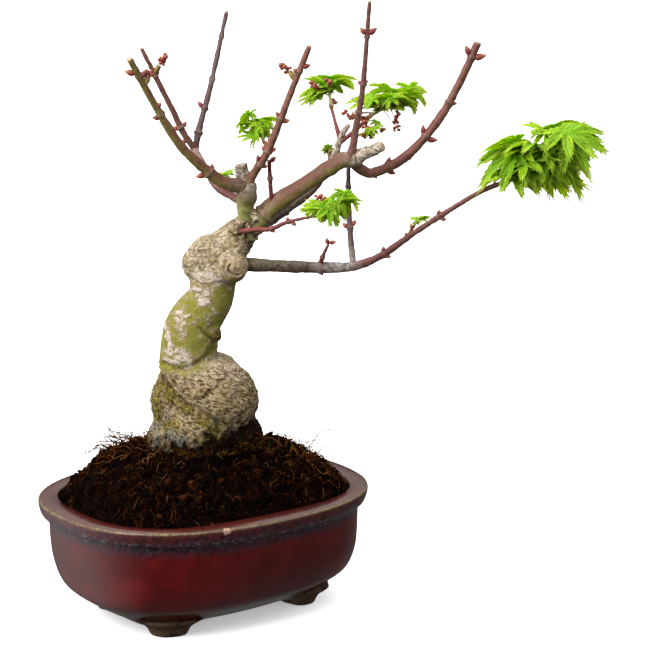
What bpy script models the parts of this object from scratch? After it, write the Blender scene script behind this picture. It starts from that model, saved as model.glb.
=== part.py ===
# Japanese maple bonsai in a glazed oval pot, in early spring leaf.
# Metres, +Z up. The pot's long side runs along X, and its feet stand on the ground plane.
# Places on the tree are (across, depth, height) in millimetres as seen from the tree's
# front: across to the right, depth away from the viewer, height above the feet. The last
# number of a four-number place is the radius there.
import math
import random

import bmesh
import bpy
import numpy as np
from mathutils import Matrix, Vector

MM = 0.001
GAP = 0.0003                         # clearance between neighbouring pieces
WELD_DISTANCE = 0.000005             # corners of a cut closer together than this become one
FRONT_TURN = math.radians(-37.5)     # the tree's front, turned from the pot's long side

# Pot
POT_LENGTH = 0.160
POT_WIDTH = 0.132
POT_SIDES = 36
# Level rings as (height, inset from the rim's outer edge, narrowing of the half width,
# exponent of the superellipse), in millimetres
OUTER_WALL = ((5, 28.7, 4, 2.4), (7, 25.2, 3.7, 2.5), (10, 20.5, 3.2, 2.6), (15, 13.5, 2.4, 2.75),
              (20, 10.6, 1.6, 2.9), (28, 8.2, 0.3, 2.8), (37, 6.3, 0, 2.6), (49.8, 4.3, 0, 2.4),
              (51, 1.6, 0, 2.4), (54, 0.3, 0, 2.4), (57, 0, 0, 2.4), (58, 1.1, 0, 2.4))
INNER_WALL = ((58, 10.4, 0, 2.9), (57, 11.5, 0, 2.9), (50, 12.2, 0, 2.9), (30, 14, 1, 2.9),
              (17, 20.5, 1.5, 2.9), (12, 29, 2, 2.9))
FOOT_PLACE = (0.038, 0.025)          # centre of a foot, mirrored to the four corners
FOOT_RADII = (0.006, 0.0125)         # at the floor, and where it enters the base
FOOT_HEIGHT = 0.0075
DRAIN_PLACE = 0.022                  # two drain holes on the long axis
DRAIN_RADIUS = 0.006

# Soil
SOIL_EDGE = 54.0                     # height at the rim, millimetres
SOIL_CROWN = 80.0                    # height round the trunk
SOIL_CLEARANCE = 0.36                # gap to the pot's wall and floor
SOIL_BANDS = (0.95, 0.86, 0.72, 0.54, 0.34, 0.14)
SOIL_FULLNESS = (3.0, 0.8)           # exponents of the dome, higher is flatter on top

# Trunk, from its flat cut at ground level to the fork
GROUND = 0.0735
TRUNK_VOXEL = 0.0018
TRUNK_KEPT_SHARE = 0.14
TRUNK_CORE = ((0, 0, 66, 22), (-1, 0, 88, 20), (-2, 0, 104, 18), (-7, 1, 118, 14.2),
              (-6.2, 1, 131, 13.5), (-3.8, 0.5, 140, 12.5), (3.6, 0, 151, 10.8),
              (5.3, 0, 160, 10.9), (8, 0, 169, 11), (14, 1, 178, 8.7), (20, 1, 184, 7.2),
              (23.5, 1, 188.5, 5.8))
TRUNK_BURLS = ((7, -4, 103, 19.2), (-10.5, 2, 101, 15.4), (13, -3, 84, 15), (-12.5, 0, 83, 14.5),
               (0, -8, 84, 19), (2, 9, 86, 19), (4, 6, 108, 16), (-1.5, 0, 167.5, 8),
               (4.6, 0, 171.2, 10.8), (14.6, -7.5, 167.6, 7.6), (15.5, -2, 177.5, 7.6),
               (5.2, -5, 136, 3.2))

# Limbs: name, the pieces that its foot is cut to seat on, sides of its section, its route
LIMBS = (
    ("leader", ("trunk",), 10,
     ((20.4, 0.5, 180, 4.6), (20.8, 0, 188, 3.8), (20.8, -1, 195, 3.7), (21.4, -2, 202, 4.6),
      (20, -2, 209, 3.4), (18.8, -2, 215.5, 2.9))),
    ("bough_left", ("leader",), 10,
     ((19.5, -3, 205, 3.2), (12, -6, 207, 2.9), (5.9, -9, 211, 2.7), (-7.6, -17, 225, 2.1),
      (-18, -24, 243, 1.8), (-29.5, -35, 267, 1.5))),
    ("bough_left_back", ("leader",), 8,
     ((20, 1, 197, 2), (14.5, 6, 199, 1.8), (7, 10, 203, 1.7), (1.6, 15, 210.5, 1.7),
      (-4.6, 20, 220.5, 1.9))),
    ("twig_left_inner", ("bough_left_back",), 8,
     ((-3.6, 19.6, 219.5, 1.4), (-9, 17, 228, 1.5), (-13.8, 14, 239, 1.4), (-21.4, 8, 256, 1.2),
      (-27.3, 4, 269, 0.9))),
    ("twig_left_tall", ("bough_left_back", "twig_left_inner"), 8,
     ((-3.8, 20.5, 219.5, 1.4), (-2.4, 22.5, 227, 1.6), (-0.1, 27, 236.5, 1.4),
      (3.7, 34, 251, 1.25), (10.8, 44, 284, 1))),
    ("twig_centre_left", ("leader",), 8,
     ((21.5, -2, 203.5, 2.4), (24.5, -4, 210.5, 2.1), (31, -10, 221, 1.8),
      (36.7, -14, 234.7, 1.65), (45.3, -20, 257, 1.45), (51.3, -24, 272, 1.25))),
    ("bough_main_right", ("trunk", "leader"), 12,
     ((20, 1, 182.5, 4.6), (26.6, 2, 187.5, 4.5), (34.4, 1, 195.6, 4.3), (49.5, 1, 206, 3.7),
      (63.8, 3, 215, 3.4), (71.5, 5, 217.3, 3.5), (77, 4, 219.7, 2.8), (85.3, 0, 223.7, 2.5))),
    ("bough_right_curved", ("bough_main_right",), 10,
     ((71, 6, 216.5, 2.6), (75.5, 9.5, 211.5, 2.6), (82.1, 12, 209.9, 2.45),
      (96.8, 17, 217, 2.25), (111.4, 20, 232.7, 2.1), (122.1, 20, 251.6, 1.9),
      (130.3, 17, 271, 1.75))),
    ("twig_vertical", ("bough_main_right",), 8,
     ((70, 3.5, 217, 2), (71.3, 3, 223, 1.85), (72.9, 2, 233.5, 1.5), (75.9, -2, 252.7, 1.25),
      (78.6, -10, 291.5, 0.95))),
    ("twig_short_red", ("bough_main_right",), 6,
     ((33.8, 0, 196, 1.3), (32.8, -2, 203, 1.1), (32.1, -4, 217.6, 1.05))),
    ("bough_back_right", ("trunk", "bough_main_right"), 8,
     ((22, 3, 181, 2.4), (29.2, 8, 184.2, 1.9), (39.6, 14, 191, 1.7), (53.1, 21, 201, 1.7),
      (62, 25, 215, 1.8), (66, 26.5, 225.5, 1.5), (69.5, 25, 231, 1.15))),
    ("twig_top_left", ("bough_back_right",), 6,
     ((65.5, 26.3, 224.5, 1), (63.8, 28.2, 229.5, 0.95), (61.3, 32, 238.5, 0.8))),
    ("twig_top_right", ("bough_back_right",), 6,
     ((65.5, 26.3, 222.5, 1), (70, 25.8, 226, 1), (79.5, 23, 234.8, 1))),
    ("bough_right_long", ("trunk",), 10,
     ((12, -2, 168.5, 3.4), (24, -2, 167.8, 3.05), (39.2, -1, 166.9, 2.8), (56, 0, 166.2, 2.7),
      (71, 0, 166.7, 2.25), (84.6, -4, 172.5, 1.8), (103.3, -14, 187.3, 1.4),
      (127.2, -27, 204.7, 1.2), (139.5, -33, 211.1, 1.1))),
    ("twig_riser", ("bough_right_long",), 6,
     ((71.6, 0.5, 166.8, 1.5), (70.4, 6, 179, 1.4), (69.4, 12, 197, 1.15), (69.7, 16, 216, 1),
      (72.5, 14, 225.3, 1))),
    ("twig_front", ("trunk",), 6,
     ((19, -5, 184, 1.4), (26.1, -13, 186.2, 1.2), (33.2, -18, 187.2, 1.15),
      (41.1, -24, 191.4, 0.95), (52.5, -31.5, 195.1, 0.7))),
    ("twig_spur", ("bough_right_long",), 6,
     ((56, -0.5, 166.8, 1), (57, -3, 171.5, 0.95), (60.1, -5, 178.6, 0.7))),
    ("spur_left", ("twig_centre_left",), 6,
     ((31, -10, 221.2, 1), (31.2, -6.5, 223.2, 1), (30.2, -4, 225.2, 0.9))),
    ("spur_leader", ("leader",), 6,
     ((20.5, -1, 204, 1), (16.5, 3, 205.2, 0.9), (14.8, 4.8, 206, 0.8))),
    ("spur_back", ("bough_back_right",), 6,
     ((61, 24.5, 213, 1), (60.3, 26.5, 215.6, 0.8), (60.5, 27, 216.7, 0.7))),
    ("spur_right", ("bough_right_long",), 6,
     ((97.6, -11, 182.9, 1), (98.4, -11.7, 185.6, 0.8), (98.8, -12, 186.8, 0.7))),
)

# Masses of foliage: the limb each ends, its stem's end, its leaves' length, one seed for
# each pair of leaves, blossoms, and the ellipsoid of space it keeps to, all in millimetres
MASSES = (
    dict(name="mass_right", limb="bough_right_long", end=(163, -34, 233), leaf=27.0,
         seeds=(5824, 56817, 4690, 39811, 34100, 60757), blossoms=5,
         centre=(158, -33, 219), space=(37, 26, 26)),
    dict(name="mass_top_left", limb="twig_top_left", end=(60, 42, 247), leaf=20.0,
         seeds=(35680, 46225, 21426, 67363), blossoms=3,
         centre=(59, 46, 245), space=(19.5, 16, 14)),
    dict(name="mass_top_right", limb="twig_top_right", end=(94, 27, 244), leaf=20.0,
         seeds=(47744, 177, 39298, 26019, 45972), blossoms=3,
         centre=(87, 27, 242), space=(26, 16, 14)),
    dict(name="mass_top_front", limb="twig_riser", end=(84, 8, 233), leaf=11.0,
         seeds=(38096, 38385), blossoms=5,
         centre=(84, 8, 232), space=(12.5, 9, 9)),
    dict(name="mass_left", limb="spur_left", end=(26, 2, 234), leaf=16.0,
         seeds=(23504, 53409, 2386, 12451), blossoms=0,
         centre=(29, 3, 230), space=(18, 14, 18)),
    dict(name="mass_front", limb="twig_front", end=(65, -36, 202), leaf=16.0,
         seeds=(57392, 26017, 59506), blossoms=2,
         centre=(61, -35, 198), space=(18, 15, 13)),
    dict(name="sprout_right", limb="spur_right", end=(101, -13, 189.5), leaf=9.0,
         seeds=(38096, 38385), blossoms=0,
         centre=(104, -13, 191), space=(12, 10, 10)),
    dict(name="sprout_leader", limb="spur_leader", end=(12, 7, 207.5), leaf=9.0,
         seeds=(22784, 1809), blossoms=0,
         centre=(11, 8, 206), space=(9, 9, 9)),
    dict(name="sprout_back", limb="spur_back", end=(61, 28.5, 219), leaf=7.5,
         seeds=(38320,), blossoms=0,
         centre=(61, 29, 220), space=(6, 6, 6)),
)

# Leaf: seven lobes spread like a hand's fingers, as (angle in degrees, share of length)
LOBES = ((-113, 0.5), (-74, 0.8), (-37, 0.95), (0, 1.0), (37, 0.95), (74, 0.8), (113, 0.5))
CLEFT = 0.4                          # distance of the cleft between two lobes, share of length
HEEL = -0.07                         # the blade's edge behind its stalk
LEAF_THICKNESS = 0.5                 # millimetres
FAN_CENTRE = 0.06                    # share of length from the stalk to the meeting of the veins
ROOT_SUNK = 0.8                      # how far a stalk runs on into its blade
STALK_RADIUS = 0.42
STEM_RADII = (1.0, 0.6)
STEM_COLLAR = 1.5                    # straight start of a stem, on from its limb
BLOSSOM_RADIUS = 1.5
LIMB_CLEARANCE = 0.8                 # least distance from a leaf to a limb
CLEARANCE_STEPS = 12                 # steps along a limb between two places of its route
SAMPLE_RINGS = (0.17, 0.33, 0.5, 0.67, 0.83, 1.0)    # shares of the blade that are tested
FLAT_ANGLE = 1.0                     # degrees; faces flatter than this to each other are merged

PAINTS = {
    "glaze": ((0.150, 0.020, 0.020), 0.25),
    "peat": ((0.030, 0.014, 0.009), 0.95),
    "old_bark": ((0.330, 0.290, 0.190), 0.85),
    "green_bark": ((0.200, 0.220, 0.090), 0.70),
    "young_bark": ((0.150, 0.050, 0.045), 0.60),
    "leaf": ((0.160, 0.480, 0.025), 0.55),
}


def place(spot):
    """A place on the tree, in millimetres, as a point in metres in the pot's frame."""
    across, depth, height = spot[:3]
    x = across * math.cos(FRONT_TURN) - depth * math.sin(FRONT_TURN)
    y = across * math.sin(FRONT_TURN) + depth * math.cos(FRONT_TURN)
    return Vector((x, y, height)) * MM


def paint(obj, name):
    """Give the object its own Principled material."""
    colour, roughness = PAINTS[name]
    material = bpy.data.materials.new(obj.name)
    material.use_nodes = True
    shader = material.node_tree.nodes["Principled BSDF"]
    shader.inputs["Base Color"].default_value = (*colour, 1.0)
    shader.inputs["Roughness"].default_value = roughness
    obj.data.materials.clear()
    obj.data.materials.append(material)


def new_object(name, mesh, collection):
    obj = bpy.data.objects.new(name, mesh)
    collection.objects.link(obj)
    return obj


def as_guide(obj):
    """Mark a cutter, which is drawn as wires and never rendered."""
    obj.hide_render = True
    obj.display_type = "WIRE"
    return obj


def boolean(obj, other, operation):
    cut = obj.modifiers.new(operation.lower() + "_" + other.name, "BOOLEAN")
    cut.operation = operation
    cut.object = other


def evaluated_mesh(obj):
    """The object's mesh with its modifiers, or its curve's surface, as a new mesh."""
    bpy.context.view_layer.update()
    ready = obj.evaluated_get(bpy.context.evaluated_depsgraph_get())
    return bpy.data.meshes.new_from_object(ready)


def smooth_route(route, steps):
    """Points along a Catmull-Rom curve through the route's places, radius included."""
    rows = np.array(route, float)
    rows = np.vstack([2 * rows[0] - rows[1], rows, 2 * rows[-1] - rows[-2]])
    points = []
    for before, start, end, after in zip(rows, rows[1:], rows[2:], rows[3:]):
        for t in np.arange(steps) / steps:
            points.append(0.5 * (2 * start + (end - before) * t
                                 + (2 * before - 5 * start + 4 * end - after) * t ** 2
                                 + (3 * start - before - 3 * end + after) * t ** 3))
    points.append(rows[-2])
    return np.array(points)


def tube_mesh(name, rows, sides, swell=0.0):
    """A closed tapering tube along rows of places and radii, in the pot's frame."""
    curve = bpy.data.curves.new(name, "CURVE")
    curve.dimensions = "3D"
    curve.bevel_depth = MM
    curve.bevel_resolution = sides // 2 - 2
    curve.use_fill_caps = True
    spline = curve.splines.new("POLY")
    spline.points.add(len(rows) - 1)
    for point, row in zip(spline.points, rows):
        point.co = (*place(row), 1.0)
        point.radius = row[3] + swell / MM
    guide = bpy.data.objects.new(name, curve)
    bpy.context.scene.collection.objects.link(guide)
    mesh = evaluated_mesh(guide)
    bpy.data.objects.remove(guide)
    form = bmesh.new()
    form.from_mesh(mesh)
    bmesh.ops.remove_doubles(form, verts=form.verts, dist=1e-6)
    form.to_mesh(mesh)
    form.free()
    mesh.shade_smooth()
    return mesh


def superellipse(half_length, half_width, power):
    turn = np.arange(POT_SIDES) * 2 * math.pi / POT_SIDES
    cosine, sine = np.cos(turn), np.sin(turn)
    x = half_length * np.sign(cosine) * np.abs(cosine) ** (2 / power)
    y = half_width * np.sign(sine) * np.abs(sine) ** (2 / power)
    return x, y


def pot_ring(row):
    """One level ring of the pot in metres, from a row of its wall."""
    height, inset, narrowing, power = row
    half_length = POT_LENGTH / 2 - inset * MM
    half_width = POT_WIDTH / 2 - (inset + narrowing) * MM
    x, y = superellipse(half_length, half_width, power)
    return np.stack([x, y, np.full(POT_SIDES, height * MM)], axis=1)


def loft(name, rings):
    """A closed skin through rings of equal count, with a flat face at either end."""
    form = bmesh.new()
    loops = [[form.verts.new(point) for point in ring] for ring in rings]
    for lower, upper in zip(loops, loops[1:]):
        for i in range(len(lower)):
            j = (i + 1) % len(lower)
            form.faces.new((lower[i], lower[j], upper[j], upper[i]))
    form.faces.new(reversed(loops[0]))
    form.faces.new(loops[-1])
    bmesh.ops.recalc_face_normals(form, faces=form.faces)
    mesh = bpy.data.meshes.new(name)
    form.to_mesh(mesh)
    form.free()
    mesh.shade_smooth()
    mesh.set_sharp_from_angle(angle=math.radians(40))
    return mesh


def cones_mesh(name, spots, sides, radii, depth):
    """Upright cones or cylinders in one mesh, centred on the spots."""
    form = bmesh.new()
    for spot in spots:
        bmesh.ops.create_cone(form, cap_ends=True, segments=sides, radius1=radii[0],
                              radius2=radii[1], depth=depth, matrix=Matrix.Translation(spot))
    mesh = bpy.data.meshes.new(name)
    form.to_mesh(mesh)
    form.free()
    return mesh


def make_pot(parts, guides):
    """Lipped oval bowl on four feet, with two drain holes in its raised base."""
    rings = [pot_ring(row) for row in OUTER_WALL + INNER_WALL]
    pot = new_object("pot", loft("pot", rings), parts)
    x, y = FOOT_PLACE
    corners = [(x * i, y * j, FOOT_HEIGHT / 2) for i in (-1, 1) for j in (-1, 1)]
    feet = cones_mesh("pot_feet", corners, 16, FOOT_RADII, FOOT_HEIGHT)
    boolean(pot, as_guide(new_object("pot_feet", feet, guides)), "UNION")
    floor = INNER_WALL[-1][0] * MM
    holes = [(DRAIN_PLACE * i, 0, floor / 2) for i in (-1, 1)]
    drains = cones_mesh("pot_drains", holes, 16, (DRAIN_RADIUS, DRAIN_RADIUS), 2 * floor)
    boolean(pot, as_guide(new_object("pot_drains", drains, guides)), "DIFFERENCE")
    paint(pot, "glaze")
    return pot


def mound(x, y, share):
    """Height of the soil, at a share of the way out to the rim, in millimetres."""
    dome = (SOIL_CROWN - SOIL_EDGE) * (1 - share ** SOIL_FULLNESS[0]) ** SOIL_FULLNESS[1]
    lumps = 1.2 * np.sin(x * 130 + 1.0) * np.cos(y * 150) * (1 - share)
    return SOIL_EDGE + dome + lumps


def make_soil(parts, trunk_cutter):
    """Soil that fills the pot and mounds up round the trunk, seated clear of both."""
    inner = np.array(INNER_WALL[::-1])
    edge = [np.interp(SOIL_EDGE, inner[:, 0], column) for column in inner.T]
    wall = np.vstack([inner[inner[:, 0] < SOIL_EDGE], edge])
    wall[0, 0] += SOIL_CLEARANCE
    wall[:, 1] += SOIL_CLEARANCE
    rings = [pot_ring(row) for row in wall]
    for share in SOIL_BANDS:
        half_length = (POT_LENGTH / 2 - wall[-1, 1] * MM) * share
        half_width = (POT_WIDTH / 2 - wall[-1, 1] * MM) * share
        x, y = superellipse(half_length, half_width, wall[-1, 3] - 0.7 * (1 - share))
        rings.append(np.stack([x, y, mound(x, y, share) * MM], axis=1))
    soil = new_object("soil", loft("soil", rings), parts)
    boolean(soil, trunk_cutter, "DIFFERENCE")
    paint(soil, "peat")


def trunk_form(name, collection, swell, ground):
    """The core and burls melted into one skin, swollen by some metres, cut flat below."""
    form = bmesh.new()
    form.from_mesh(tube_mesh(name, smooth_route(TRUNK_CORE, 3), 16))
    for burl in TRUNK_BURLS:
        bmesh.ops.create_uvsphere(form, u_segments=20, v_segments=12, radius=burl[3] * MM,
                                  matrix=Matrix.Translation(place(burl)))
    mesh = bpy.data.meshes.new(name)
    form.to_mesh(mesh)
    form.free()
    trunk = new_object(name, mesh, collection)
    skin = trunk.modifiers.new("skin", "REMESH")
    skin.mode = "VOXEL"
    skin.voxel_size = TRUNK_VOXEL
    skin.use_smooth_shade = True
    ease = trunk.modifiers.new("ease", "SMOOTH")
    ease.factor = 0.5
    ease.iterations = 6
    thin = trunk.modifiers.new("thin", "DECIMATE")
    thin.ratio = TRUNK_KEPT_SHARE
    if swell:
        grow = trunk.modifiers.new("grow", "DISPLACE")
        grow.mid_level = 0.0
        grow.strength = swell
    boolean(trunk, ground, "DIFFERENCE")
    return trunk


def ground_box(name, top, guides):
    """A cutter whose top face is the level at which a trunk ends."""
    bpy.ops.mesh.primitive_cube_add(size=0.2, location=(0, 0, top - 0.1))
    box = bpy.context.object
    box.name = name
    for collection in box.users_collection:
        collection.objects.unlink(box)
    guides.objects.link(box)
    return as_guide(box)


def make_limbs(parts, guides, trunk_cutter):
    """Every limb, its foot cut to seat on the swollen form of what it grows from."""
    forms = {}
    cutters = {"trunk": trunk_cutter}
    for name, seats, sides, route in LIMBS:
        forms[name] = (smooth_route(route, 3 if sides > 8 else 2), sides)
        limb = new_object(name, tube_mesh(name, *forms[name]), parts)
        for seat in seats:
            if seat not in cutters:
                swollen = tube_mesh(seat + "_cutter", *forms[seat], swell=GAP)
                cutters[seat] = as_guide(new_object(seat + "_cutter", swollen, guides))
            boolean(limb, cutters[seat], "DIFFERENCE")
        limb.modifiers.new("weld", "WELD").merge_threshold = WELD_DISTANCE
        paint(limb, "green_bark" if name == "leader" else "young_bark")


def limb_paths():
    """Finely stepped places and radii along the trunk and every limb, for clearances."""
    paths = {name: smooth_route(route, CLEARANCE_STEPS) for name, _, _, route in LIMBS}
    paths["trunk"] = smooth_route(TRUNK_CORE, CLEARANCE_STEPS)
    return paths


def leaf_pair(seed, node, size):
    """Two leaves on stalks that leave a stem's node on opposite sides."""
    dice = random.Random(seed)
    turn = dice.uniform(0, 360)
    pair = []
    for side in (0, 180):
        heading = math.radians(turn + side + dice.uniform(-35, 35))
        stalk = size * dice.uniform(0.12, 0.38)
        rise = math.radians(dice.uniform(-15, 60))
        pitch = math.radians(dice.uniform(-65, 15))
        roll = math.radians(dice.uniform(-35, 35))
        length = size * dice.uniform(0.72, 1.05)
        bend = dice.uniform(0.05, 0.45)
        flat = np.array((math.cos(heading), math.sin(heading), 0.0))
        up = np.array((0.0, 0.0, 1.0))
        root = node + stalk * (flat * math.cos(rise) + up * math.sin(rise))
        ahead = flat * math.cos(pitch) + up * math.sin(pitch)
        left = np.cross(up, flat)
        over = np.cross(ahead, left)
        left, over = (left * math.cos(roll) + over * math.sin(roll),
                      over * math.cos(roll) - left * math.sin(roll))
        pair.append(dict(node=node, root=root, ahead=ahead, left=left, over=over,
                         length=length, bend=bend))
    return pair


def blade_places(leaf, outline, lift=0.0):
    """Outline points of the unit leaf, bent down with their distance and set in place."""
    flat = np.array(outline) * leaf["length"]
    sag = leaf["bend"] * (flat ** 2).sum(axis=1) / leaf["length"]
    return (leaf["root"] + flat[:, :1] * leaf["ahead"] + flat[:, 1:] * leaf["left"]
            + (lift - sag)[:, None] * leaf["over"])


def unit_outline():
    """Lobe tips and the clefts between them, round a leaf of length 1 from its heel."""
    outline = [(HEEL, 0.0)]
    for lobe, following in zip(LOBES, LOBES[1:] + (None,)):
        angle, reach = lobe
        outline.append((reach * math.cos(math.radians(angle)), reach * math.sin(math.radians(angle))))
        if following:
            middle = math.radians((angle + following[0]) / 2)
            cleft = CLEFT * (reach + following[1]) / 2
            outline.append((cleft * math.cos(middle), cleft * math.sin(middle)))
    return outline


def leaf_mesh(name, leaf):
    """The blade as a thin closed solid: a fan above, a fan below and an edge."""
    outline = unit_outline()
    form = bmesh.new()
    fans = []
    for lift in (LEAF_THICKNESS / 2, -LEAF_THICKNESS / 2):
        places = blade_places(leaf, outline + [(FAN_CENTRE, 0.0)], lift)
        fans.append([form.verts.new(place(spot)) for spot in places])
    top, bottom = fans
    count = len(outline)
    for i in range(count):
        j = (i + 1) % count
        form.faces.new((top[-1], top[i], top[j]))
        form.faces.new((bottom[-1], bottom[j], bottom[i]))
        form.faces.new((top[i], bottom[i], bottom[j], top[j]))
    bmesh.ops.recalc_face_normals(form, faces=form.faces)
    mesh = bpy.data.meshes.new(name)
    form.to_mesh(mesh)
    form.free()
    return mesh


def rod_mesh(name, start, end, radii, sides=3):
    """A straight tapering rod between two places on the tree."""
    start, end = place(start), place(end)
    along = end - start
    frame = Matrix.Translation((start + end) / 2) @ along.to_track_quat("Z", "Y").to_matrix().to_4x4()
    form = bmesh.new()
    bmesh.ops.create_cone(form, cap_ends=True, segments=sides, radius1=radii[0] * MM,
                          radius2=radii[1] * MM, depth=along.length, matrix=frame)
    mesh = bpy.data.meshes.new(name)
    form.to_mesh(mesh)
    form.free()
    return mesh


def ball_mesh(name, spot, radius):
    form = bmesh.new()
    bmesh.ops.create_icosphere(form, subdivisions=1, radius=radius * MM,
                               matrix=Matrix.Translation(place(spot)))
    mesh = bpy.data.meshes.new(name)
    form.to_mesh(mesh)
    form.free()
    return mesh


def fits(places, mass, limbs):
    """True where every place is inside the mass's space and clear of every limb."""
    inside = (((places - np.array(mass["centre"])) / np.array(mass["space"])) ** 2).sum(axis=1)
    if inside.max() > 1:
        return False
    apart = np.linalg.norm(places[:, None, :] - limbs[None, :, :3], axis=2) - limbs[None, :, 3]
    return apart.min() > LIMB_CLEARANCE


def leaf_samples(leaf):
    """Places on the leaf's edge, on rings in from it, and along its stalk."""
    outline = np.array(unit_outline())
    halfway = (outline + np.roll(outline, -1, axis=0)) / 2
    rings = [blade_places(leaf, np.vstack([outline, halfway]) * share) for share in SAMPLE_RINGS]
    stalk = leaf["node"] + (leaf["root"] - leaf["node"]) * np.array(((0.6,), (0.9,)))
    return np.vstack(rings + [stalk])


def largest_shell(mesh):
    """Drop scraps and sealed hollows, which are shells apart from the largest one, and
    join corners that all but touch."""
    form = bmesh.new()
    form.from_mesh(mesh)
    form.verts.ensure_lookup_table()
    unseen = set(form.verts)
    shells = []
    while unseen:
        reached = [unseen.pop()]
        for vert in reached:
            for edge in vert.link_edges:
                other = edge.other_vert(vert)
                if other in unseen:
                    unseen.remove(other)
                    reached.append(other)
        shells.append(reached)
    shells.sort(key=len)
    for shell in shells[:-1]:
        bmesh.ops.delete(form, geom=shell, context="VERTS")
    bmesh.ops.remove_doubles(form, verts=form.verts, dist=WELD_DISTANCE)
    bmesh.ops.dissolve_limit(form, angle_limit=math.radians(FLAT_ANGLE), verts=form.verts,
                             edges=form.edges)
    bmesh.ops.triangulate(form, faces=form.faces)
    form.to_mesh(mesh)
    form.free()


def grow_mass(mass, parts, paths):
    """One mass: a stem on from its limb's tip, pairs of leaves and blossoms, all fused."""
    path = paths[mass["limb"]][:, :3]
    tip = path[-1]
    ahead = tip - path[-1 - CLEARANCE_STEPS // 2]
    ahead /= np.linalg.norm(ahead)
    start = tip + ahead * GAP / MM
    end = np.array(mass["end"], float)
    count = len(mass["seeds"])
    nodes = [start + (end - start) * (i + 1) / count for i in range(count)]
    collar = start + ahead * min(STEM_COLLAR, 0.4 * np.linalg.norm(nodes[0] - start))
    limbs = np.vstack(list(paths.values()))

    sprig = bpy.data.collections.new(mass["name"] + "_pieces")
    bpy.context.scene.collection.children.link(sprig)
    radii = np.linspace(STEM_RADII[0], STEM_RADII[1], count + 2)
    stem = np.column_stack([np.array([start, collar] + nodes), radii])
    mass_object = new_object(mass["name"], tube_mesh(mass["name"], smooth_route(stem, 2), 6), parts)
    for seed, node in zip(mass["seeds"], nodes):
        for leaf in leaf_pair(seed, node, mass["leaf"]):
            if fits(leaf_samples(leaf), mass, limbs):
                new_object("leaf", leaf_mesh("leaf", leaf), sprig)
                sunk = leaf["root"] + ROOT_SUNK * leaf["ahead"]
                new_object("stalk", rod_mesh("stalk", node, sunk, (STALK_RADIUS, STALK_RADIUS)), sprig)
    dice = random.Random(mass["seeds"][0])
    for _ in range(mass["blossoms"]):
        node = nodes[dice.randrange(count)]
        turn = dice.uniform(0, 2 * math.pi)
        drop = dice.uniform(-0.9, 0.3)
        flat = math.sqrt(1 - drop ** 2)
        reach = dice.uniform(0.18, 0.32) * mass["leaf"]
        head = node + reach * np.array((flat * math.cos(turn), flat * math.sin(turn), drop))
        if fits(head[None, :], mass, limbs):
            new_object("blossom", ball_mesh("blossom", head, BLOSSOM_RADIUS), sprig)
            new_object("stalk", rod_mesh("stalk", node, head, (STALK_RADIUS, STALK_RADIUS)), sprig)

    union = mass_object.modifiers.new("fuse", "BOOLEAN")
    union.operation = "UNION"
    union.operand_type = "COLLECTION"
    union.solver = "MANIFOLD"
    union.collection = sprig
    fused = evaluated_mesh(mass_object)
    mass_object.modifiers.clear()
    mass_object.data = fused
    for piece in list(sprig.objects):
        bpy.data.objects.remove(piece)
    bpy.data.collections.remove(sprig)
    largest_shell(fused)
    fused.shade_flat()
    paint(mass_object, "leaf")


def stand_at_origin(root, parts):
    """Parent every piece to the root and centre the whole over the origin."""
    bpy.context.view_layer.update()
    graph = bpy.context.evaluated_depsgraph_get()
    corners = []
    for obj in parts.objects:
        corners += [obj.matrix_world @ Vector(corner) for corner in obj.evaluated_get(graph).bound_box]
    low = [min(corner[i] for corner in corners) for i in range(3)]
    high = [max(corner[i] for corner in corners) for i in range(3)]
    for obj in bpy.data.objects:
        if obj is not root:
            obj.parent = root
    root.location = (-(low[0] + high[0]) / 2, -(low[1] + high[1]) / 2, -low[2])


def main():
    for obj in list(bpy.data.objects):
        bpy.data.objects.remove(obj)
    parts = bpy.data.collections.new("maple_bonsai")
    guides = bpy.data.collections.new("guides")
    for collection in (parts, guides):
        bpy.context.scene.collection.children.link(collection)

    make_pot(parts, guides)
    trunk_floor = ground_box("trunk_floor", GROUND, guides)
    trunk = trunk_form("trunk", parts, 0.0, trunk_floor)
    paint(trunk, "old_bark")
    pocket_floor = ground_box("pocket_floor", GROUND - GAP, guides)
    trunk_cutter = as_guide(trunk_form("trunk_cutter", guides, GAP, pocket_floor))
    make_soil(parts, trunk_cutter)
    make_limbs(parts, guides, trunk_cutter)
    paths = limb_paths()
    for mass in MASSES:
        grow_mass(mass, parts, paths)

    root = bpy.data.objects.new("maple_bonsai_root", None)
    bpy.context.scene.collection.objects.link(root)
    stand_at_origin(root, parts)


main()
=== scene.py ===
import math
import random

import bpy
import numpy as np
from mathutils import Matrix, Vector


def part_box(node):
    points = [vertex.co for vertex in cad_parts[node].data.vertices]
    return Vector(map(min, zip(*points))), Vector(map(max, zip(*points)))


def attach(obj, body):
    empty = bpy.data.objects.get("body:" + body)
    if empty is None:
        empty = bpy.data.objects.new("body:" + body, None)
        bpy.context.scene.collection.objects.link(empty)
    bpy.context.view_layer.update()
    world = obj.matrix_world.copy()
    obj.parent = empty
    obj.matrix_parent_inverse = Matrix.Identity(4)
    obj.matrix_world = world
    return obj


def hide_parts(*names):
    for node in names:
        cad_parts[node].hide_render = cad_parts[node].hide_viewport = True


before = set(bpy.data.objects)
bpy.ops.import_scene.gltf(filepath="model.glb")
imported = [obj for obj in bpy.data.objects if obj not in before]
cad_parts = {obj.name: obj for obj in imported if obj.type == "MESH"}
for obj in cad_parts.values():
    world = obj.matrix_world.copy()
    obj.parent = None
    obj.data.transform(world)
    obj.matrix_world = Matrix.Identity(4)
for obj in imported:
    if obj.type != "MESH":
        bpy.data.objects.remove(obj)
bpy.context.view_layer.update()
print("frame loaded:", len(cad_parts), "nodes")

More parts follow.
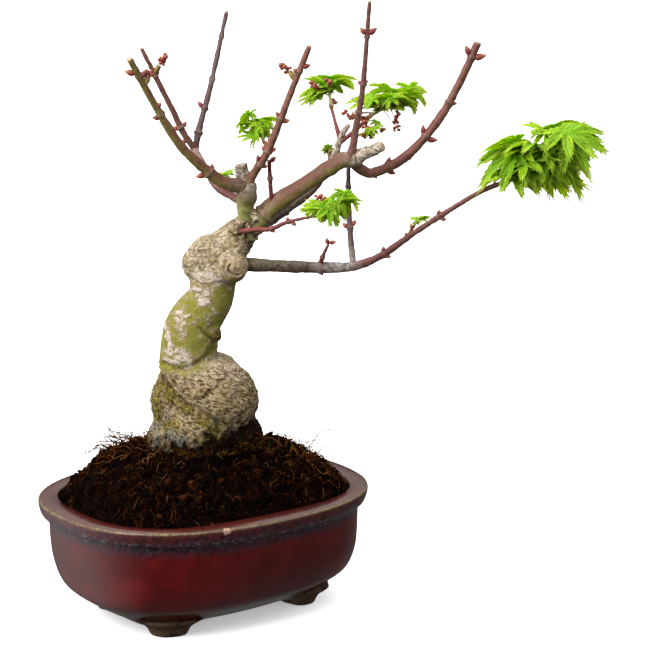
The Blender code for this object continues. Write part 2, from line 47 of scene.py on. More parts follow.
# Places on the tree are (across, depth, height) in millimetres from the pot's middle, seen
# from the tree's front; a fourth number is the radius there.
mm = 0.001
treeTurn = math.radians(-37.5)
turnCos, turnSin = math.cos(treeTurn), math.sin(treeTurn)
potLow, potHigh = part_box("pot")
potMiddle = np.array([(potLow.x + potHigh.x) / 2, (potLow.y + potHigh.y) / 2, 0])


# ---- shapes as arrays

def toPot(across, depth):
    # the pot's own x and y of a place: a turn about the upright axis
    return across * turnCos - depth * turnSin, across * turnSin + depth * turnCos


def place(spots):
    # (across, depth, height) in millimetres as the frame's metres, from the pot's middle
    spots = np.asarray(spots, float)
    x, y = toPot(spots[..., 0], spots[..., 1])
    return np.stack([x, y, spots[..., 2]], -1) * mm + potMiddle


def fromPot(x, y, z):
    # the other way: the pot's own x, y, z in millimetres as (across, depth, height)
    return np.stack([x * turnCos + y * turnSin, y * turnCos - x * turnSin, z + 0 * x], -1)


def around(count):
    # that many angles, evenly round a circle
    return np.arange(count) * 2 * math.pi / count


def spokes(turn):
    # level directions at the angles
    return np.stack([np.cos(turn), np.sin(turn), 0 * turn], -1)


def superEllipse(turn, halfX, halfY, power):
    # x is halfX times the sign of the cosine times its size to the power 2 / power; y with the sine
    c, s = np.cos(turn), np.sin(turn)
    return (halfX * np.sign(c) * np.abs(c) ** (2 / power),
            halfY * np.sign(s) * np.abs(s) ** (2 / power))


def unit(v):
    # each vector divided by its length
    return v / np.maximum(np.linalg.norm(v, axis=-1, keepdims=True), 1e-9)


def ease(x, low, high):
    # 0 below low, 1 above high, smoothstep between
    t = np.clip((x - low) / (high - low), 0, 1)
    return t * t * (3 - 2 * t)


def smoothRoute(route, steps):
    # Catmull-Rom curve through the rows, every column alike
    rows = np.array(route, float)
    rows = np.vstack([2 * rows[0] - rows[1], rows, 2 * rows[-1] - rows[-2]])
    a, b, c, d = (rows[i:len(rows) - 3 + i, None, :] for i in range(4))
    t = (np.arange(steps) / steps)[None, :, None]
    curve = 0.5 * (2 * b + (c - a) * t + (2 * a - 5 * b + 4 * c - d) * t ** 2
                   + (3 * b - a - 3 * c + d) * t ** 3)
    return np.vstack([curve.reshape(-1, rows.shape[1]), rows[-2:-1]])


def lattice(spots, size, seed=0):
    # noise from -1 to 1: a hashed value at each corner of a cell of that size, blended by smoothstep
    cells = np.asarray(spots, float) / size
    base = np.floor(cells).astype(np.int64)
    t = cells - base
    t = t * t * (3 - 2 * t)
    total = 0
    for corner in range(8):
        step = np.array((corner & 1, corner >> 1 & 1, corner >> 2))
        key = base + step
        h = (key[..., 0] * 73856093 ^ key[..., 1] * 19349663 ^ key[..., 2] * 83492791
             ^ seed * 2654435761)
        for shift, factor in ((13, 1274126177), (15, 668265263)):
            h = ((h ^ (h >> shift)) * factor) & 0xffffffff
        weight = np.prod(np.where(step, t, 1 - t), -1)
        total = total + weight * (((h >> 8) & 0xffff) / 32767.5 - 1)
    return total


def layered(spots, size, octaves, seed=0):
    # sum of lattices, each half the size and half the height of the one before
    return sum(lattice(spots, size / 2 ** i, seed + i) / 2 ** i for i in range(octaves))


def gridFaces(rows, columns, offset=0):
    # quads between neighbouring rings of points, each ring closed on itself
    i, j = np.meshgrid(np.arange(rows - 1), np.arange(columns), indexing="ij")
    k = (j + 1) % columns
    return np.stack([i * columns + j, i * columns + k, (i + 1) * columns + k,
                     (i + 1) * columns + j], -1).reshape(-1, 4) + offset


def closedGrid(rings, marks=None):
    # rings (rows, columns, 3) with a pole at the middle of either end ring; a mark may be one
    # number, or an array that spreads over the rings
    rows, columns = rings.shape[:2]
    points = np.vstack([rings.reshape(-1, 3), rings[0].mean(0), rings[-1].mean(0)])
    j = np.arange(columns)
    k = (j + 1) % columns
    first, last = rows * columns, rows * columns + 1
    top = (rows - 1) * columns
    tris = np.vstack([np.stack([k, j, j * 0 + first], -1),
                      np.stack([top + j, top + k, j * 0 + last], -1)])
    out = {}
    for key, mark in (marks or {}).items():
        mark = np.broadcast_to(mark, (rows, columns))
        out[key] = np.concatenate([mark.ravel(), [mark[0].mean(), mark[-1].mean()]])
    return dict(points=points, quads=gridFaces(rows, columns), tris=tris, marks=out)


def joined(surfaces):
    # several surfaces as one, with their face numbers moved up
    counts = np.cumsum([0] + [len(s["points"]) for s in surfaces])
    keys = surfaces[0]["marks"].keys()
    return dict(points=np.vstack([s["points"] for s in surfaces]),
                quads=np.vstack([s["quads"] + n for s, n in zip(surfaces, counts)]),
                tris=np.vstack([s["tris"] + n for s, n in zip(surfaces, counts)]),
                marks={k: np.concatenate([s["marks"][k] for s in surfaces]) for k in keys})


def tubes(paths, radii, sides, marks=None):
    # a ring of points about each place of every path, in the plane square to the path: place +
    # radius (side cos turn + over sin turn). Marks spread over paths, places and ring points
    paths = np.asarray(paths, float)
    n, steps = paths.shape[:2]
    ahead = unit(np.gradient(paths, axis=1))
    mean = unit(paths[:, -1] - paths[:, 0] + 1e-6)
    helper = np.where(np.abs(mean[:, 1:2]) < 0.8, np.array([[0, 1.0, 0]]), np.array([[1.0, 0, 0]]))
    side = unit(np.cross(ahead, helper[:, None, :]))
    over = np.cross(side, ahead)
    turn = around(sides)
    spoke = (side[:, :, None] * np.cos(turn)[None, None, :, None]
             + over[:, :, None] * np.sin(turn)[None, None, :, None])
    radii = np.asarray(radii, float)
    if radii.ndim == 2:
        radii = radii[:, :, None]
    rings = paths[:, :, None] + spoke * radii[..., None]
    points = np.concatenate([rings.reshape(n, -1, 3), paths[:, :1], paths[:, -1:]], 1)
    each = steps * sides + 2
    quads = gridFaces(steps, sides)
    j = np.arange(sides)
    k = (j + 1) % sides
    top = (steps - 1) * sides
    tris = np.vstack([np.stack([k, j, j * 0 + each - 2], -1),
                      np.stack([top + j, top + k, j * 0 + each - 1], -1)])
    shift = (np.arange(n) * each)[:, None, None]
    out = {}
    for key, mark in (marks or {}).items():
        mark = np.asarray(mark, float)
        mark = np.broadcast_to(mark.reshape(mark.shape + (1,) * (3 - mark.ndim)), (n, steps, sides))
        out[key] = np.concatenate([mark.reshape(n, -1), mark[:, :1, 0], mark[:, -1:, 0]], 1).ravel()
    return dict(points=points.reshape(-1, 3), quads=(quads[None] + shift).reshape(-1, 4),
                tris=(tris[None] + shift).reshape(-1, 3), marks=out)


def piece(name, surface, material, nodes=(), uv=None, smooth=True):
    points = place(surface["points"])
    quads, tris = surface["quads"], surface["tris"]
    corners = np.vstack([quads[:, :3], quads[:, (0, 2, 3)], tris])
    a, b, c = (points[corners[:, i]] - points.mean(0) for i in range(3))
    if (np.cross(a, b) * c).sum() < 0:
        quads, tris = quads[:, ::-1], tris[:, ::-1]
    loops = np.concatenate([quads.ravel(), tris.ravel()]).astype(np.int32)
    counts = np.concatenate([np.full(len(quads), 4), np.full(len(tris), 3)]).astype(np.int32)
    mesh = bpy.data.meshes.new(name)
    mesh.vertices.add(len(points))
    mesh.vertices.foreach_set("co", points.astype(np.float32).ravel())
    mesh.loops.add(len(loops))
    mesh.loops.foreach_set("vertex_index", loops)
    mesh.polygons.add(len(counts))
    mesh.polygons.foreach_set("loop_start", (np.cumsum(counts) - counts).astype(np.int32))
    mesh.polygons.foreach_set("use_smooth", np.full(len(counts), smooth))
    mesh.update(calc_edges=True)
    if uv is not None:
        layer = mesh.uv_layers.new(name="surfaceMap")
        layer.data.foreach_set("uv", uv[loops].astype(np.float32).ravel())
    for key, mark in surface["marks"].items():
        mesh.attributes.new(key, "FLOAT", "POINT").data.foreach_set("value", mark.astype(np.float32))
    mesh.validate()
    mesh.materials.append(material)
    obj = bpy.data.objects.new(name, mesh)
    bpy.context.scene.collection.objects.link(obj)
    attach(obj, "root")
    if nodes:
        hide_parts(*nodes)
    return obj


# ---- materials

def join(value, inlet):
    # links a wire to the inlet, or sets the number, vector or colour on it
    if isinstance(value, Wire):
        value.socket.id_data.links.new(value.socket, inlet)
    elif isinstance(value, tuple) and len(value) == 3 and inlet.type == "RGBA":
        inlet.default_value = (*value, 1.0)
    else:
        inlet.default_value = value


class Wire:
    # one socket; arithmetic on it adds Math nodes
    def __init__(self, socket):
        self.socket = socket

    def math(self, operation, *terms):
        # one Math node on the terms
        node = self.socket.id_data.nodes.new("ShaderNodeMath")
        node.operation = operation
        for inlet, term in zip(node.inputs, terms):
            join(term, inlet)
        return Wire(node.outputs[0])

    def __add__(self, other): return self.math("ADD", self, other)
    def __radd__(self, other): return self.math("ADD", other, self)
    def __sub__(self, other): return self.math("SUBTRACT", self, other)
    def __rsub__(self, other): return self.math("SUBTRACT", other, self)
    def __mul__(self, other): return self.math("MULTIPLY", self, other)
    def __pow__(self, other): return self.math("POWER", self, other)


class Finish:
    # a Principled material under construction
    def __init__(self, name, **values):
        self.material = bpy.data.materials.new(name)
        self.material.use_nodes = True
        self.tree = self.material.node_tree
        self.shader = self.tree.nodes["Principled BSDF"]
        self.set(**values)
        self.spot = self.node("TexCoord", out="Object")

    def set(self, **values):
        # the shader's inputs by their names without spaces
        for key, value in values.items():
            words = "".join(" " + ch if ch.isupper() else ch for ch in key).strip()
            join(value, self.shader.inputs[words.replace("Ior", "IOR")])

    def node(self, kind, settings=None, values=None, out=0):
        # adds a node with its settings, and values or wires on its inlets; gives one of its outlets
        made = self.tree.nodes.new("ShaderNode" + kind)
        for key, value in (settings or {}).items():
            if key == "stops":
                while len(made.color_ramp.elements) < len(value):
                    made.color_ramp.elements.new(0.5)
                for element, (at, colour) in zip(made.color_ramp.elements, value):
                    element.position = at
                    element.color = (*colour, 1.0)
            else:
                setattr(made, key, value)
        for key, value in (values or {}).items():
            join(value, made.inputs[key])
        return Wire(made.outputs[out])

    def mark(self, name):
        # the mesh's own mark of that name
        return self.node("Attribute", {"attribute_name": name}, out="Fac")

    def noise(self, size, detail=3.0, roughness=0.6, spot=None):
        # size in millimetres
        return self.node("TexNoise", values={"Vector": spot or self.spot, "Scale": 1 / (size * mm),
                                             "Detail": detail, "Roughness": roughness})

    def patches(self, size, low, high, detail=4.0, roughness=0.6, spot=None):
        # noise cut down to patches: none below low, whole above high
        return self.between(self.noise(size, detail, roughness, spot), low, high)

    def cells(self, size, spot=None):
        # distance to the nearest of points scattered that many millimetres apart
        return self.node("TexVoronoi", values={"Vector": spot or self.spot, "Scale": 1 / (size * mm)},
                         out="Distance")

    def between(self, value, low, high):
        # 0 at low, 1 at high, smooth between
        return self.node("MapRange", {"interpolation_type": "SMOOTHSTEP"},
                         {"Value": value, "From Min": low, "From Max": high})

    def mottle(self, size, detail=4.0, roughness=0.6, spot=None):
        # noise pulled apart to run from 0 to 1
        return self.between(self.noise(size, detail, roughness, spot), 0.34, 0.66)

    def blend(self, share, first, second):
        # first where the share is 0, second where it is 1
        return self.node("Mix", {"data_type": "RGBA"}, {0: share, 6: first, 7: second}, 2)

    def layers(self, colour, rows):
        # lays each tint over the colour where its mask is
        for mask, tint in rows:
            colour = self.blend(mask, colour, tint)
        return colour

    def stretched(self, x, y, z):
        # the places scaled along each axis: noise gets finer along one that is scaled up
        return self.node("Mapping", values={"Vector": self.spot, "Scale": (x, y, z)})

    def part(self, vector, axis):
        # one number of a vector
        return self.node("SeparateXYZ", values={"Vector": vector}, out=axis)

    def bump(self, height, depth, strength=1.0):
        # depth in millimetres
        self.set(Normal=self.node("Bump", values={"Height": height, "Distance": depth * mm,
                                                  "Strength": strength}))


def glazeFinish():
    # red glaze, olive where it is thin on the rim's edge, pooled blue-grey under the lip and at the
    # foot; heights in millimetres above the floor
    f = Finish("oxbloodGlaze", SpecularIorLevel=0.38)
    height = f.part(f.spot, 2) * 1000.0
    level = height + (f.noise(9, 4) - 0.5) * 4.0
    rimTop = f.between(height, 57.0, 57.7)
    lip = f.blend(f.mottle(2.4, 4, 0.7), (0.014, 0.0030, 0.0045), (0.080, 0.010, 0.009))
    red = f.layers(f.blend(f.patches(24, 0.38, 0.66), (0.052, 0.0012, 0.0012), (0.092, 0.0034, 0.0030)), (
        (f.patches(1.1, 0.54, 0.70, 3) * 0.55, (0.016, 0.001, 0.002)),
        (f.patches(0.8, 0.64, 0.74, 2) * 0.40, (0.20, 0.045, 0.040)),
        (rimTop * 0.62, (0.020, 0.0035, 0.0050)),
        (f.between(level, 50.0, 52.5) * (1 - rimTop), lip)))
    milky = (f.patches(2.2, 0.50, 0.62, 4, 0.7) * f.between(level, 47.5, 50.5)
             * (1 - f.between(level, 52.0, 54.5)))
    pooled = f.layers(f.blend(f.mottle(1.8, 5), (0.008, 0.003, 0.007), (0.044, 0.024, 0.036)), (
        (f.patches(4, 0.45, 0.6, 3) * 0.6, (0.050, 0.006, 0.006)),
        (milky * 0.55, (0.16, 0.145, 0.165))))
    under = (f.between(level, 43.0, 48.5) * (1 - f.between(level, 51.0, 54.5) * 0.75)
             * (1 - f.between(height, 56.6, 57.6)))
    foot = (1 - f.between(level, 7.5, 12.5)) * 0.8
    olive = f.blend(f.mottle(1.5, 3), (0.050, 0.036, 0.010), (0.165, 0.122, 0.044))
    chipPlace = Vector(place(fromPot(*pot["chip"])))
    fromChip = f.node("VectorMath", {"operation": "DISTANCE"}, {0: f.spot, 1: chipPlace}, "Value") * 1000.0
    chip = 1 - f.between(fromChip + f.noise(1.3, 2) * 2.4, 2.7, 3.2)
    bare = f.blend(f.mottle(0.8, 2), (0.17, 0.095, 0.060), (0.38, 0.25, 0.17))
    f.set(BaseColor=f.layers(red, ((under * 0.95, pooled), (foot * 0.7, pooled), (f.mark("edge"), olive),
                                   (chip, bare))),
          Roughness=0.13 + f.noise(3, 3) * 0.16 + chip * 0.5 + f.mark("edge") * 0.25)
    pits = f.between(f.cells(1.3), 0.06, 0.22)
    f.bump(f.noise(7, 3) * 0.7 + pits * 0.3, 0.35, 0.5)
    return f.material


def clayFinish():
    # dark grainy clay without glaze
    f = Finish("bareClay", Roughness=0.85, SpecularIorLevel=0.15)
    grain = f.noise(1.2, 4)
    colour = f.blend(grain, (0.030, 0.017, 0.010), (0.115, 0.066, 0.038))
    f.set(BaseColor=f.blend(f.patches(6, 0.45, 0.7, 2), colour, (0.014, 0.007, 0.005)))
    f.bump(grain + f.noise(5, 2), 0.5)
    return f.material


def peatFinish():
    # near-black fibrous peat; on loose bits the mark "tone" picks a colour from black to straw
    f = Finish("fibrousPeat", Roughness=1.0, SpecularIorLevel=0.02)
    strand = f.patches(3.5, 0.52, 0.68, 5, 0.7, f.stretched(1, 1, 2.5))
    dark = f.blend(f.patches(1.3, 0.40, 0.72), (0.0004, 0.0002, 0.0001), (0.0075, 0.0022, 0.0008))
    rusty = f.node("ValToRGB", {"stops": ((0.0, (0.0006, 0.0003, 0.0002)), (0.3, (0.014, 0.0042, 0.0014)),
                                          (0.6, (0.110, 0.028, 0.005)), (0.82, (0.30, 0.115, 0.026)),
                                          (1.0, (0.60, 0.38, 0.18)))}, {"Fac": f.mark("tone")})
    bits = f.blend(f.noise(0.8, 3) * 0.6, rusty, (0.004, 0.0015, 0.001))
    mossy = f.blend(f.noise(1.0, 3), (0.020, 0.022, 0.003), (0.17, 0.115, 0.014))
    f.set(BaseColor=f.layers(dark, ((strand * 0.35, (0.040, 0.009, 0.002)), (f.mark("loose"), bits),
                                    (f.mark("moss"), mossy))))
    f.bump(f.noise(1.0, 5, 0.75) + strand * 0.5, 0.8)
    return f.material


def oldBarkFinish():
    # grey-beige corky bark with dark slanting dashes; the marks lay olive skin, pale flakes, the
    # pruning scar, moss, a bluish bloom, cracks with painted shade in the folds, and earth over it
    f = Finish("knobblyBark", Roughness=0.9, SpecularIorLevel=0.05)
    slant = f.node("Mapping", {"vector_type": "TEXTURE"},
                   {"Vector": f.spot, "Rotation": (0.0, 0.3, treeTurn), "Scale": (2.6, 2.0, 0.85)})
    green, flake, age = f.mark("green"), f.mark("flake"), f.mark("age")
    aged = f.blend(f.mottle(2.6, 5, 0.75), (0.075, 0.046, 0.014), (0.310, 0.235, 0.128))
    cork = f.layers(f.blend(f.mottle(3.4, 5, 0.7), (0.190, 0.140, 0.074), (0.420, 0.350, 0.240)), (
        (f.patches(1.5, 0.45, 0.62) * 0.5, (0.56, 0.49, 0.38)),
        (f.patches(8, 0.48, 0.62, 3) * 0.5, (0.215, 0.150, 0.048)),
        (age * 0.66, aged)))
    olive = f.layers(f.blend(f.noise(7, 4), (0.095, 0.098, 0.014), (0.265, 0.250, 0.048)), (
        (f.patches(1.7, 0.54, 0.68) * 0.6, (0.34, 0.27, 0.11)),
        (f.patches(0.9, 0.57, 0.65, 3, 0.6, slant) * 0.6, (0.16, 0.095, 0.032))))
    flakeEdge = f.between(flake, 0.10, 0.35) * (1 - f.between(flake, 0.55, 0.85))
    bare = (1 - green * 0.9) * (1 - f.mark("scar") * 0.7) * (1 - flake * 0.7)
    crowd = f.patches(7, 0.35, 0.6, 3) * 0.05
    dash = f.between(f.noise(0.95, 3, 0.6, slant) + crowd, 0.565, 0.605) * bare * (age * 0.50 + 0.42)
    f.set(BaseColor=f.layers(cork, (
        (green, olive),
        (flake, f.blend(f.noise(1.6, 5, 0.7), (0.27, 0.21, 0.145), (0.60, 0.54, 0.46))),
        (flakeEdge * f.patches(1.2, 0.42, 0.55, 3) * 0.75, (0.135, 0.078, 0.026)),
        (f.mark("scar"), f.blend(f.noise(1.6, 5, 0.75), (0.120, 0.078, 0.036), (0.520, 0.405, 0.260))),
        (f.mark("moss"), f.blend(f.mottle(1.6), (0.034, 0.026, 0.004), (0.215, 0.180, 0.030))),
        (f.mark("blue"), f.blend(f.noise(1.3, 4), (0.022, 0.028, 0.028), (0.26, 0.28, 0.26))),
        (dash, (0.052, 0.025, 0.006)),
        (f.patches(0.5, 0.55, 0.63, 3, 0.6, slant) * 0.5, (0.135, 0.082, 0.027)),
        # real cracks, and painted shade in the bark's folds and round the scar's rim, share this dark colour
        (f.mark("crack"), f.blend(f.noise(1.0, 3), (0.008, 0.004, 0.002), (0.070, 0.038, 0.014))),
        (f.mark("earth"), f.blend(f.patches(1.0, 0.45, 0.7), (0.0008, 0.0004, 0.0002),
                                  (0.026, 0.009, 0.0025))))))
    f.bump(f.noise(1.1, 5, 0.7) - dash * 0.8 - f.mark("crack") + flake * 0.3, 0.7, 0.9)
    return f.material


def shootFinish(name, top, under, old, gloss=0.5):
    # young bark, one colour above and one below, with pale lenticels; the marks lay weathered,
    # ashy, olive and corky stretches, the lines round the joints and the cut end over it
    f = Finish(name, Roughness=gloss * 0.9, SpecularIorLevel=0.36)
    up = f.part(f.node("NewGeometry", out="Normal"), 2)
    green, grey, aged = f.mark("green"), f.mark("grey"), f.mark("aged")
    dots = 1 - f.between(f.cells(1.9, f.stretched(1, 1, 0.6)), 0.07, 0.15)
    corky = f.blend(f.mottle(1.9, 5, 0.75), (0.100, 0.066, 0.038), (0.66, 0.57, 0.45))
    corky = f.blend(f.patches(1.1, 0.54, 0.64, 3) * 0.8, corky, (0.045, 0.024, 0.010))
    f.set(BaseColor=f.layers(f.blend(f.between(up + (f.noise(9, 3) - 0.5) * 1.4, -0.3, 0.45), under, top), (
        (f.patches(2.5, 0.42, 0.66, 5, 0.7) * 0.6, old),
        (f.patches(4, 0.56, 0.7, 5, 0.75) * 0.34, (0.30, 0.21, 0.14)),
        (aged * 0.92, f.blend(f.mottle(1.8, 5, 0.7), (0.016, 0.009, 0.006), (0.120, 0.088, 0.058))),
        (f.mark("pale") * 0.9, f.blend(f.mottle(2.4, 5, 0.7), (0.070, 0.052, 0.046), (0.33, 0.29, 0.265))),
        (dots * 0.5, (0.38, 0.25, 0.15)),
        (green * 0.92, f.blend(f.mottle(2.5), (0.080, 0.082, 0.018), (0.270, 0.255, 0.080))),
        (grey * 0.95, corky),
        (f.patches(3, 0.55, 0.66, 4, 0.7) * green * 0.6, (0.075, 0.052, 0.022)),
        (f.mark("joint") * 0.6, f.blend(f.mottle(1.0, 3), (0.030, 0.013, 0.010), (0.24, 0.15, 0.11))),
        (f.mark("cut"), f.blend(f.noise(1.0, 3), (0.26, 0.18, 0.09), (0.52, 0.42, 0.27))))))
    coarse = (grey + aged * 0.5) * f.noise(1.3, 5, 0.7) * 3.0
    f.bump(f.noise(0.9, 5, 0.7) + dots * 0.5 + coarse, 0.35, 0.9)
    return f.material


def budFinish():
    # bud scales: the mark "tip" runs from the base to the point, "spray" differs bud by bud
    f = Finish("budScales", Roughness=0.5, SpecularIorLevel=0.45)
    red = f.blend(f.mark("spray"), (0.150, 0.012, 0.012), (0.240, 0.042, 0.026))
    tan = f.blend(f.mark("spray"), (0.230, 0.085, 0.040), (0.430, 0.270, 0.090))
    colour = f.blend(f.between(f.mark("tip"), 0.50, 1.0), red, tan)
    rims = f.between(f.mark("scale"), 0.6, 1.0)
    colour = f.blend(rims * 0.6, colour, (0.055, 0.008, 0.007))
    f.set(BaseColor=f.blend(f.mark("fresh"), colour, (0.20, 0.24, 0.035)))
    f.bump(f.noise(0.6, 3) - rims, 0.12)
    return f.material


def leafFinish():
    # on the map, u runs from a lobe's midrib to the cleft and v from the stalk out to the tip
    f = Finish("leafBlade", Roughness=0.5, SpecularIorLevel=0.15, SubsurfaceWeight=0.7,
               SubsurfaceRadius=Vector((0.7, 1.0, 0.12)), SubsurfaceScale=0.002)
    chart = f.node("UVMap", {"uv_map": "surfaceMap"})
    u, v = f.part(chart, 0), f.part(chart, 1)
    fresh = f.blend(f.mark("spray"), (0.118, 0.305, 0.003), (0.195, 0.385, 0.005))
    edges = f.between(u, 0.55, 0.95) * f.between(v, 0.35, 0.6)
    midribs = 1 - f.between(u, 0.03, 0.13)
    lines = v.math("FRACT", (v - u * 0.14) * 11.0)
    sides = f.between(lines, 0.82, 0.93) * (1 - f.between(lines, 0.93, 1.0)) * f.between(v, 0.25, 0.4)
    veins = v.math("MAXIMUM", midribs, sides * 0.55)
    f.set(BaseColor=f.layers(fresh, ((f.patches(6, 0.38, 0.66) * 0.45, (0.085, 0.240, 0.004)),
                                     (f.between(v, 0.55, 1.0) * 0.35, (0.330, 0.520, 0.016)),
                                     (edges * 0.35, (0.340, 0.530, 0.030)),
                                     (veins * 0.40, (0.400, 0.560, 0.060)))))
    f.bump(f.noise(1.6, 3) * 0.6 - veins, 0.35, 0.7)
    return f.material


def stalkFinish():
    # green, or red where the mark says so
    f = Finish("leafStalk", Roughness=0.5)
    green = f.blend(f.noise(2, 3), (0.11, 0.19, 0.015), (0.22, 0.30, 0.04))
    red = f.blend(f.noise(1, 3), (0.14, 0.018, 0.012), (0.26, 0.070, 0.030))
    f.set(BaseColor=f.blend(f.mark("red"), green, red))
    f.bump(f.noise(0.6, 2), 0.08)
    return f.material


def blossomFinish():
    # dark red to rose, browner on some heads
    f = Finish("flowerBud", Roughness=0.55)
    colour = f.blend(f.noise(1.1, 3), (0.150, 0.010, 0.009), (0.360, 0.070, 0.040))
    f.set(BaseColor=f.blend(f.mark("spray") * 0.4, colour, (0.24, 0.10, 0.035)))
    f.bump(f.noise(0.7, 3), 0.3)
    return f.material


# ---- pot

# the wall's profile, outside and inside, as rows of (height, inset from the rim's outline, further
# inset of the long sides, power of the superellipse)
pot = dict(length=160, width=132, sides=288,
           outer=((5, 28.7, 4, 2.4), (7, 25.2, 3.7, 2.5), (10, 20.5, 3.2, 2.6), (15, 13.5, 2.4, 2.75),
                  (20, 10.6, 1.6, 2.9), (28, 8.2, 0.3, 2.8), (37, 6.3, 0, 2.6), (49.8, 4.3, 0, 2.4),
                  (51, 1.6, 0, 2.4), (54, 0.3, 0, 2.4), (57, 0, 0, 2.4), (58, 1.1, 0, 2.4)),
           inner=((58, 10.4, 0, 2.9), (57, 11.5, 0, 2.9), (50, 12.2, 0, 2.9), (30, 14, 1, 2.9),
                  (17, 20.5, 1.5, 2.9), (12, 29, 2, 2.9)), steps=6, footPlace=(38, 25),
           footRadii=(7.4, 13.0), footHeight=7.5, footSides=48, apron=2.6, chip=(-30.6, -62.9, 57.0))


def potRings(rows, sides):
    # one superellipse ring for each row of the profile
    height, inset, narrowing, power = rows.T[:, :, None]
    x, y = superEllipse(around(sides)[None], pot["length"] / 2 - inset,
                        pot["width"] / 2 - inset - narrowing, power)
    return x, y, height + 0 * x


def makePot():
    # rings up the outside, over the rim and down inside; noise swells the wall by a third of a
    # millimetre, and the mark "edge" falls off from the rim as exp(-(rows / width)^2)
    outer, inner = (smoothRoute(pot[key], pot["steps"]) for key in ("outer", "inner"))
    x, y, z = potRings(np.vstack([outer, inner]), pot["sides"])
    low = np.stack([x, y, z * 0], -1)
    swell = 0.25 * lattice(low, 31, 3) + 0.1 * lattice(np.stack([x, y, z], -1), 9, 5)
    away = unit(low)
    x, y = x + away[..., 0] * swell, y + away[..., 1] * swell
    z = np.where(z > 30, z + 0.18 * lattice(low, 24, 8), z)
    at = np.arange(len(z))[:, None] + 0 * x
    rim = len(outer) - 1
    edge = np.exp(-((at - (rim - 3.5)) / 2.6) ** 2) * (0.75 + 0.35 * lattice(low, 4, 2))
    edge = edge + 0.5 * np.exp(-((at - (rim + 6)) / 1.5) ** 2) + (1 - ease(z, 6.2, 8.2)) * (at < rim)
    # the wall's foot dips to a low apron over each clay foot
    overFoot = np.exp(-(((np.abs(x) - 43) / 17) ** 4 + ((np.abs(y) - 30) / 15) ** 4))
    z = z - pot["apron"] * overFoot * (1 - ease(z, 6, 15)) * (at < rim)
    surface = closedGrid(fromPot(x, y, z), {"edge": np.clip(edge, 0, 1)})
    piece("potBody", surface, glaze, ["pot"])


def makeFeet():
    # lobed lumps: radius = low + a rounded heel + (high - low) share^2.3, share going up the foot,
    # times 1 + cosine lobes round it
    turn = around(pot["footSides"])
    share = np.array([0, 0.04, 0.15, 0.3, 0.45, 0.6, 0.75, 0.88, 1.0, 1.15])
    low, high = pot["footRadii"]
    radius = low + 1.4 * np.sqrt(np.minimum(share, 0.2) / 0.2) + (high - low) * np.minimum(share, 1.1) ** 2.3
    feet = []
    for sx, sy in ((-1, -1), (-1, 1), (1, -1), (1, 1)):
        lobes = 1 + 0.07 * np.cos(3 * turn + sx + 2 * sy) + 0.03 * np.cos(5 * turn + sy)
        x = sx * pot["footPlace"][0] + radius[:, None] * lobes * np.cos(turn)
        y = sy * pot["footPlace"][1] + radius[:, None] * lobes * np.sin(turn)
        feet.append(closedGrid(fromPot(x, y, share[:, None] * pot["footHeight"] + 0 * x)))
    piece("potFeet", joined(feet), clay)


glaze, clay = glazeFinish(), clayFinish()
makePot()
makeFeet()
print("pot made")


# ---- soil

# wisps: (across, depth, spread across, spread in depth, count, lengths, rises, way they lean);
# heaps the same up to the count; wires: the long roots, place by place
soil = dict(edge=54, crown=80, fullness=(3.0, 0.8), rimInset=12.0, power=2.9, rows=90, columns=260,
            crumbs=3900, strands=4300, roots=110, mossTufts=700, clods=3.2, trunkFoot=19, seed=11,
            wisps=((-33, 2, 5, 10, 60, (14, 27), (5, 17), math.pi),
                   (46, 4, 8, 10, 90, (6, 14), (2, 9), 0.0), (-34, 2, 9, 12, 70, (4, 11), (1, 5), None),
                   (48, 4, 9, 10, 90, (3, 9), (1, 4), None), (0, 0, 34, 24, 36, (5, 12), (1, 3), None)),
            heaps=((50, 6, 9, 9, 700), (-36, 4, 10, 12, 400), (28, 8, 10, 8, 300)), cling=2600,
            clingFrom=42, clingMarches=24,
            wires=(((-25.1, 0, 66), (-29.9, 0, 76.7), (-39.4, -1, 80.6), (-48.9, -2, 82),
                    (-55.6, -3, 79.1), (-56.5, -3, 72.8)),
                   ((-26.1, 1, 70), (-32.2, 0, 82.5), (-40.3, 2, 81), (-47, 3, 84.5)),
                   ((-34.6, -3, 66), (-43.2, -5, 71.9), (-49.9, -6, 68.9), (-53.7, -8, 63.1)),
                   ((-24, -4, 69), (-30.5, -5, 79), (-37, -7, 77.5), (-44, -9, 74)),
                   ((-28, 3, 68), (-36, 4, 75.5), (-45, 5, 74), (-51, 6, 76.5)),
                   ((44.4, 2, 70), (54.9, 2, 84), (63, 1, 86.4), (65.8, 0, 82.5)),
                   ((46.3, 0, 66), (58.2, 1, 78.6), (64.4, 2, 76.7)),
                   ((40, 4, 72), (50, 5, 80), (57, 7, 79)), ((20, -2, 78), (31, -4, 84), (38, -5, 80))))


soilHalfX, soilHalfY = pot["length"] / 2 - soil["rimInset"], pot["width"] / 2 - soil["rimInset"]


def soilShare(x, y):
    # 0 in the middle, 1 on the rim: the superellipse's own measure
    n = soil["power"]
    return (np.abs(x / soilHalfX) ** n + np.abs(y / soilHalfY) ** n) ** (1 / n)


def soilHeight(x, y):
    # a dome (1 - share^a)^b that flattens out to the rim, with a slow swell and clods
    share = np.clip(soilShare(x, y), 0, 1)
    dome = (soil["crown"] - soil["edge"]) * (1 - share ** soil["fullness"][0]) ** soil["fullness"][1]
    swell = 1.2 * np.sin(x * 0.130 + 1.0) * np.cos(y * 0.150) * (1 - share)
    flat = np.stack([x, y, x * 0], -1)
    clods = soil["clods"] * layered(flat, 7, 3, 21) * ease(1 - share, 0.0, 0.10)
    return soil["edge"] + dome + swell + clods


